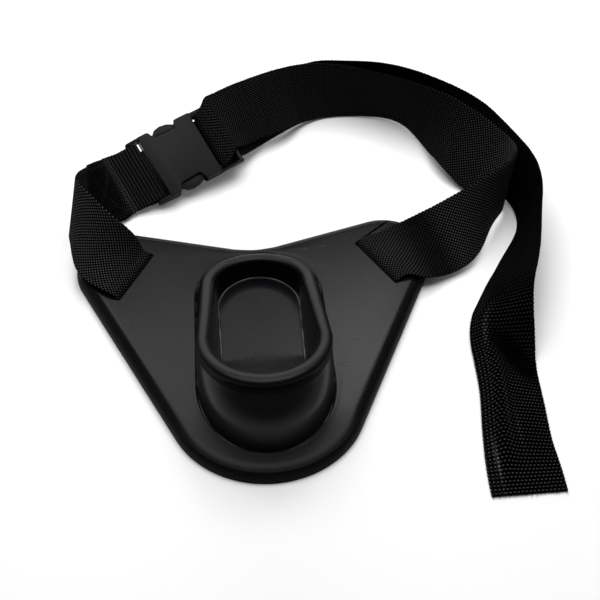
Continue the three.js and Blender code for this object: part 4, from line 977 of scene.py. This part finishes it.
def woven(name, gloss=0.018):
    m = Nodes(name)
    s = m.shader
    uv = m.tree.nodes.new("ShaderNodeUVMap")
    uv.uv_map = "weave"
    sep = m.tree.nodes.new("ShaderNodeSeparateXYZ")
    m.link(uv.outputs["UV"], sep.inputs[0])
    u, v = sep.outputs[0], sep.outputs[1]

    def attr(key):
        n = m.tree.nodes.new("ShaderNodeAttribute")
        n.attribute_name = key
        return n.outputs["Fac"]

    rib, wear_and_highlight, shade = attr("rib"), attr("wear_and_highlight"), attr("shade")
    pu = m.math("SINE", m.math("MULTIPLY", m.math("ADD", u, 0.0), math.pi))
    pv = m.math("COSINE", m.math("MULTIPLY", v, math.pi))
    # plain weave: each warp passes over every second pick, next to a column half a step off
    check = m.math("MULTIPLY", pu, pv)
    sparse_shade = attr("sparse_shade")
    lean = m.math("MULTIPLY", sparse_shade, 0.36)
    # in the slack tail one shed sinks out of sight and the other lies in long floats
    step = m.math("FLOOR", m.math("MULTIPLY", m.math("ADD", v, 0.5), 0.5))
    staggered = m.math("SINE", m.math("MULTIPLY", m.math("ADD", u, step), math.pi))
    floats = m.math("MULTIPLY", pv, m.math("ADD", 0.58, m.math("MULTIPLY", staggered, 0.42)))
    loose = m.math("MULTIPLY", sparse_shade, 1.7, clamp=True)
    check = m.math("ADD", check, m.math("MULTIPLY", loose, m.math("SUBTRACT", floats, check)))
    # painted shade: where this attribute is set the light yarn tops shrink, so the webbing is coloured darker while its
    # dots stay bright
    tops = m.ramp(check, m.math("ADD", -0.08, lean), m.math("ADD", 0.62, m.math("MULTIPLY", sparse_shade, 0.33)))
    col_gap = m.ramp(m.math("ABSOLUTE", pu), 0.05, 0.55)
    ribs = m.ramp(pv, -0.35, 0.8)
    weave = m.math("MULTIPLY", tops, m.math("ADD", 0.55, m.math("MULTIPLY", col_gap, 0.45)))
    rib = m.math("MULTIPLY", rib, 0.62)
    h = m.math("ADD", m.math("MULTIPLY", weave, m.math("SUBTRACT", 1.0, rib)), m.math("MULTIPLY", ribs, m.math("MULTIPLY", rib, 0.72)))
    at = m.here()
    com = m.tree.nodes.new("ShaderNodeCombineXYZ")
    m.link(u, com.inputs[0])
    m.link(v, com.inputs[1])
    fibre = m.noise(m.stretch(com.outputs[0], (7.0, 0.8, 1)), 1.0, 2, 0.6)
    uneven = m.noise(m.stretch(com.outputs[0], (1.0, 0.11, 1)), 1.0, 2, 0.6)
    dusty = m.noise(at, 28, 3, 0.6)
    lift = m.math("MULTIPLY", h, m.math("ADD", 0.45, m.math("MULTIPLY", fibre, 1.1)))
    lift = m.math("MULTIPLY", lift, m.math("ADD", 0.55, m.math("MULTIPLY", uneven, 0.9)))
    lift = m.math("MULTIPLY", lift, m.math("ADD", 0.7, m.math("MULTIPLY", dusty, 0.6)))
    lift = m.math("MULTIPLY", lift, m.math("SUBTRACT", 1.0, m.math("MULTIPLY", shade, 0.95)))
    # painted highlight and shade: yarn tops are coloured light and the gaps between them near black, standing in for
    # the sheen on the tops and the shade between the yarns
    col = m.mix(lift, (0.0003, 0.0003, 0.0004, 1), (0.062, 0.062, 0.062, 1))
    # the scuff near the tail's end is real wear; the streak along the ridge is a painted highlight
    col = m.mix(m.math("MULTIPLY", wear_and_highlight, m.math("ADD", 0.06, m.math("MULTIPLY", h, 0.94))), col, (0.36, 0.36, 0.35, 1))
    m.link(col, s.inputs["Base Color"])
    m.link(m.math("SUBTRACT", 0.86, m.math("MULTIPLY", h, 0.26)), s.inputs["Roughness"])
    s.inputs["IOR"].default_value = 1.45
    s.inputs["Specular IOR Level"].default_value = gloss
    s.inputs["Sheen Weight"].default_value = gloss * 0.3
    s.inputs["Sheen Roughness"].default_value = 0.45
    n = m.bump(h, 0.00032, 0.9)
    n = m.bump(fibre, 0.00008, 0.5, n)
    m.link(n, s.inputs["Normal"])
    return m.material


def thread_material(name):
    m = Nodes(name)
    at = m.here()
    s = m.shader
    twist = m.noise(m.stretch(at, (2500, 2500, 900), (0.6, 0.3, 0.4)), 1.0, 2)
    m.link(m.mix(twist, (0.0015, 0.0015, 0.0030, 1), (0.013, 0.013, 0.019, 1)), s.inputs["Base Color"])
    s.inputs["Roughness"].default_value = 0.6
    s.inputs["Specular IOR Level"].default_value = 0.13
    m.link(m.bump(twist, 0.00006, 0.6), s.inputs["Normal"])
    return m.material


def floor_material(name):
    m = Nodes(name)
    at = m.here()
    s = m.shader
    m.link(m.mix(m.noise(at, 3, 2), (0.92, 0.92, 0.92, 1), (0.94, 0.94, 0.94, 1)), s.inputs["Base Color"])
    s.inputs["Roughness"].default_value = 0.9
    s.inputs["Specular IOR Level"].default_value = 0.1
    return m.material


# ------------------------------------------------------------------ build
PLASTIC, CUP_PLASTIC = moulded("satin_moulding", dull_and_painted_light=True), moulded("satin_moulding_cup", lines=True)
# painted shade: the floor at the bottom of the cup gets a copy of the plastic that reflects less, so it looks darker
SHADED_FLOOR_PLASTIC = moulded("satin_moulding_cup_floor_shaded", lines=True, gloss=0.085)
WOVEN_SHADED = woven("webbing_weave_shaded", 0.004)
SHADED_EDGE_PLASTIC = moulded("satin_moulding_edge_shaded", shaded_copy=True)
CLIP, WOVEN, THREAD = clip_plastic("clip_plastic"), woven("webbing_weave"), thread_material("sewing_thread")


def dress(ob, material, node):
    ob.data.materials.clear()
    ob.data.materials.append(material)
    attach(ob, "root")
    if node:
        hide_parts(*([node] if isinstance(node, str) else node))
    return ob


shield = dress(make_shield(), PLASTIC, "shield_plate")
# painted shade: the moulding's outer edge gets a copy of the plastic that reflects little, so it looks darker than its
# face
shield.data.materials.append(SHADED_EDGE_PLASTIC)
for face in shield.data.polygons:
    c = (np.array(face.center) - SHIFT) * 1000
    if face.normal.z < (0.68 if c[0] > 0 or c[1] < -110 else 0.62):
        face.material_index = 1
cup = dress(make_cup(), CUP_PLASTIC, "rod_cup")

cup.data.materials.append(SHADED_FLOOR_PLASTIC)
cup.data.materials.append(SHADED_EDGE_PLASTIC)
inside = obround(FLOOR, (np.arange(8) + 0.5) / 8)
for face in cup.data.polygons:
    c = (np.array(face.center) - SHIFT) * 1000
    if face.normal.z > 0.9 and c[2] < FLOOR_TOP + 6 and abs(c[0]) < 36 and inside[:, 1].min() - 1 < c[1] < inside[:, 1].max() + 1:
        face.material_index = 1
    # painted shade: the outer underside of the rim gets the same darker copy
    elif RIM_ROWS[1] <= face.index < RIM_ROWS[2]:
        face.material_index = 2

knots, marks_at = short_knots()
sections, short_length, place = resample(knots, PICK)
run0, run1 = place(marks_at["run"][0]), place(marks_at["run"][1])
short = Web("short_webbing", sections, marks={
    "rib": lambda s, f, top: smooth((s - (run1 - 3)) / 5) * smooth((run1 + 34 - s) / 4),
    "wear_and_highlight": lambda s, f, top: 0 * s,
    "sparse_shade": lambda s, f, top: 0.06 + 0.10 * smooth((85 - s) / 40),
    "shade": lambda s, f, top: 0.36 * smooth((85 - s) / 40) + 0.88 * smooth((s - (run1 - 42)) / 5) * smooth((run1 + 1 - s) / 6) + 0.66 * smooth((s - run1) / 5),
})
dress(short.object, WOVEN, "short_strap")

knots, marks_at = long_knots()
sections, long_length, place = resample(knots, PICK)
long_run0, long_run1 = place(marks_at["run"][0]), place(marks_at["run"][1])
tail0, tail1 = place(marks_at["tail"][0]), place(marks_at["tail"][1])


def belt_shade(s, f):
    """Painted shade along the webbing's run: how much darker it is coloured at each distance, lightest at the near
    turn.
    """
    at = [0, 60, 78, 92, 104, 118, 205, 232, 300, 400, 470, 505, 545, 640, 860, 900, 1010, 1060, 1160]
    to = [0.45, 0.45, 0.45, 0.82, 0.82, 0.10, 0.05, 0.55, 0.70, 0.62, 0.58, 0.5, 0.72, 0.84, 0.94, 0.94, 0.72, 0.42, 0.30]
    return np.interp(s, at, to) + 0 * f


def spot(s, f, at, across, reach, spread, lean=0.0):
    """A soft patch on the webbing, centred at s, f and leaning over as it runs down."""
    g = f - across - lean * (s - at)
    return np.exp(-((s - at) / reach) ** 2 - (g / spread) ** 2)


def tail_dent(s, f):
    return spot(s, f, 1040, 0.68, 17, 0.20, 0.011)


def tail_relief(s, f):
    """The tail's soft fold: a ridge near its left edge, a dent beside it, then slack ripples."""
    on = smooth((s - 985) / 30) * smooth((tail1 - 6 - s) / 34)
    ridge = np.exp(-((f - 0.26 - 0.00030 * (s - 1040)) / 0.11) ** 2)
    ripple = np.sin((s - 1050) / 11.0 + 5 * f) * smooth((s - 1060) / 20) * smooth((f - 0.3) / 0.3)
    return on * (2.6 * ridge - 3.2 * tail_dent(s, f) + 0.45 * ripple)


def tail_wear_and_highlight(s, f):
    # a real scuff near the cut end, a painted highlight along the crest of the tail's ridge, then two fainter lighter
    # streaks further down
    streaks = 0.75 * np.exp(-((s - (tail1 - 27)) / 13) ** 2 - ((f - 0.155 - 0.0016 * (s - tail1 + 27)) / 0.018) ** 2)
    streaks = streaks + 0.22 * np.exp(-((s - 1018) / 16) ** 2 - ((f - 0.27 + 0.0030 * (s - 1018)) / 0.030) ** 2)
    streaks = streaks + 0.14 * np.exp(-((s - 1085) / 24) ** 2 - ((f - 0.36 - 0.0012 * (s - 1085)) / 0.022) ** 2)
    return streaks + 0.12 * np.exp(-((s - 1100) / 17) ** 2 - ((f - 0.52 - 0.0016 * (s - 1100)) / 0.020) ** 2)


belt = Web("long_webbing", sections, lift=tail_relief, marks={
    "rib": lambda s, f, top: 0.0 * s,
    "wear_and_highlight": lambda s, f, top: tail_wear_and_highlight(s, f),
    "sparse_shade": lambda s, f, top: 0.12 * smooth((s - 235) / 30) + 0.62 * smooth((s - 960) / 60) * (0.35 + 0.65 * smooth((f - 0.16) / 0.1)),
    # painted shade in the tail's dent, and painted light on the facet left of its ridge
    "shade": lambda s, f, top: np.clip(belt_shade(s, f) + 1.1 * tail_dent(s, f) * smooth((s - 1005) / 15)
                                    - 0.30 * smooth((s - 975) / 20) * smooth((0.24 - f) / 0.06), 0, 1),
})
dress(belt.object, WOVEN, "long_strap")
# painted shade: the far layer and the tail get a copy of the webbing with almost no reflection, so they look darker
belt.object.data.materials.append(WOVEN_SHADED)
around = 2 * len(belt.f)
for face in belt.object.data.polygons:
    if face.index < (belt.n - 1) * around and belt.s[face.index // around] > 600:
        face.material_index = 1

# box and cross stitching that holds the short strap's sewn-back end
b0, b1 = run1 - 39, run1 - 4
runs = []
for k in (0.0, 1.6):
    fa, fb = 0.06 + k / 50, 0.94 - k / 50
    sa, sb = b0 + k, b1 - k
    for p, q in (((sa, fa), (sb, fa)), ((sb, fa), (sb, fb)), ((sb, fb), (sa, fb)), ((sa, fb), (sa, fa))):
        runs += stitch_line(short, p, q)
for p, q in (((b0 + 2, 0.1), (b1 - 2, 0.9)), ((b0 + 2, 0.9), (b1 - 2, 0.1))):
    runs += stitch_line(short, p, q)
    runs += stitch_line(short, (p[0] + 2.0, p[1]), (q[0] + 2.0, q[1]))
stitches = dress(threads("strap_stitching", runs, 0.27), THREAD, None)

socket = dress(make_socket(), CLIP, "buckle_socket")
tongue = dress(make_prongs(), CLIP, "buckle_prongs")

# cut end of the tail: loose yarn ends
runs = []
for k in range(150):
    f = rng.uniform(0.004, 0.996)
    a, nrm = belt.at(belt.s[-1] - 0.6, f, 1, -0.9 + rng.uniform(-0.6, 0.6))
    d = unit(belt.mid[-1, 20] - belt.mid[-3, 20])
    side = unit(belt.mid[-1, -1] - belt.mid[-1, 0])
    length = rng.uniform(0.7, 1.7) + (rng.random() > 0.93) * rng.uniform(0.5, 2.0)
    bend = rng.normal(0, 0.25, 2)
    run = [a + d * length * w + side * bend[0] * w ** 2 * length + np.array([0, 0, 1.0]) * (bend[1] * w ** 2 * length * 0.5) for w in (0, 0.33, 0.66, 1)]
    runs.append([np.array([p[0], p[1], max(p[2], 0.15)]) for p in run])
fray = dress(threads("tail_yarn_ends", runs, 0.12, 5), THREAD, None)

# ------------------------------------------------------------------ floor, lights, camera
bpy.ops.mesh.primitive_plane_add(size=8, location=(0, 0, 0))
floor = bpy.context.object
floor.name = "floor"
floor.data.materials.append(floor_material("pale_floor"))

world = bpy.context.scene.world or bpy.data.worlds.new("world")
bpy.context.scene.world = world
world.use_nodes = True
world.node_tree.nodes["Background"].inputs["Color"].default_value = (1, 1, 1, 1)
world.node_tree.nodes["Background"].inputs["Strength"].default_value = 0.14


def area_light(name, at, to, size, power, size_y=None):
    data = bpy.data.lights.new(name, "AREA")
    data.shape = "RECTANGLE"
    data.size, data.size_y = size, size_y or size
    data.energy = power
    ob = bpy.data.objects.new(name, data)
    ob.location = at
    ob.rotation_euler = (Vector(to) - Vector(at)).to_track_quat("-Z", "Y").to_euler()
    bpy.context.scene.collection.objects.link(ob)
    return ob


def shifted(x, y, z):
    return (x + SHIFT[0], y + SHIFT[1], z)


area_light("top_softbox", shifted(0, 0.10, 1.5), shifted(0, 0.10, 0), 1.8, 21, 1.0)
area_light("back_softbox", shifted(0.0, 0.73, 1.10), shifted(0, -0.08, 0), 1.2, 7.0, 0.42)
area_light("low_back_softbox", shifted(0, 1.35, 0.42), shifted(0, 0, 0.05), 0.95, 4.4, 0.6)
area_light("right_panel", shifted(0.20, 0.63, 0.93), shifted(0.063, -0.126, 0), 0.14, 0.62, 0.24)

EYE = np.array([-19.932, -635.492, 637.009])
FORWARD, UP = Vector((0.05825, 0.67951, -0.73135)), Vector((0.06247, 0.72868, 0.68200))
RIGHT = FORWARD.cross(UP).normalized()
UP = RIGHT.cross(FORWARD).normalized()
cam = bpy.data.cameras.new("camera")
cam.sensor_width = 36
cam.lens = 1170 / 600 * 36
cam.clip_start = 0.05
camera = bpy.data.objects.new("camera", cam)
turn = Matrix((RIGHT, UP, -FORWARD)).transposed().to_4x4()
camera.matrix_world = Matrix.Translation(Vector(P(EYE))) @ turn
bpy.context.scene.collection.objects.link(camera)
bpy.context.scene.camera = camera

view = bpy.context.scene.view_settings
view.view_transform, view.look, view.exposure, view.gamma = "Standard", "None", 0.0, 1.0
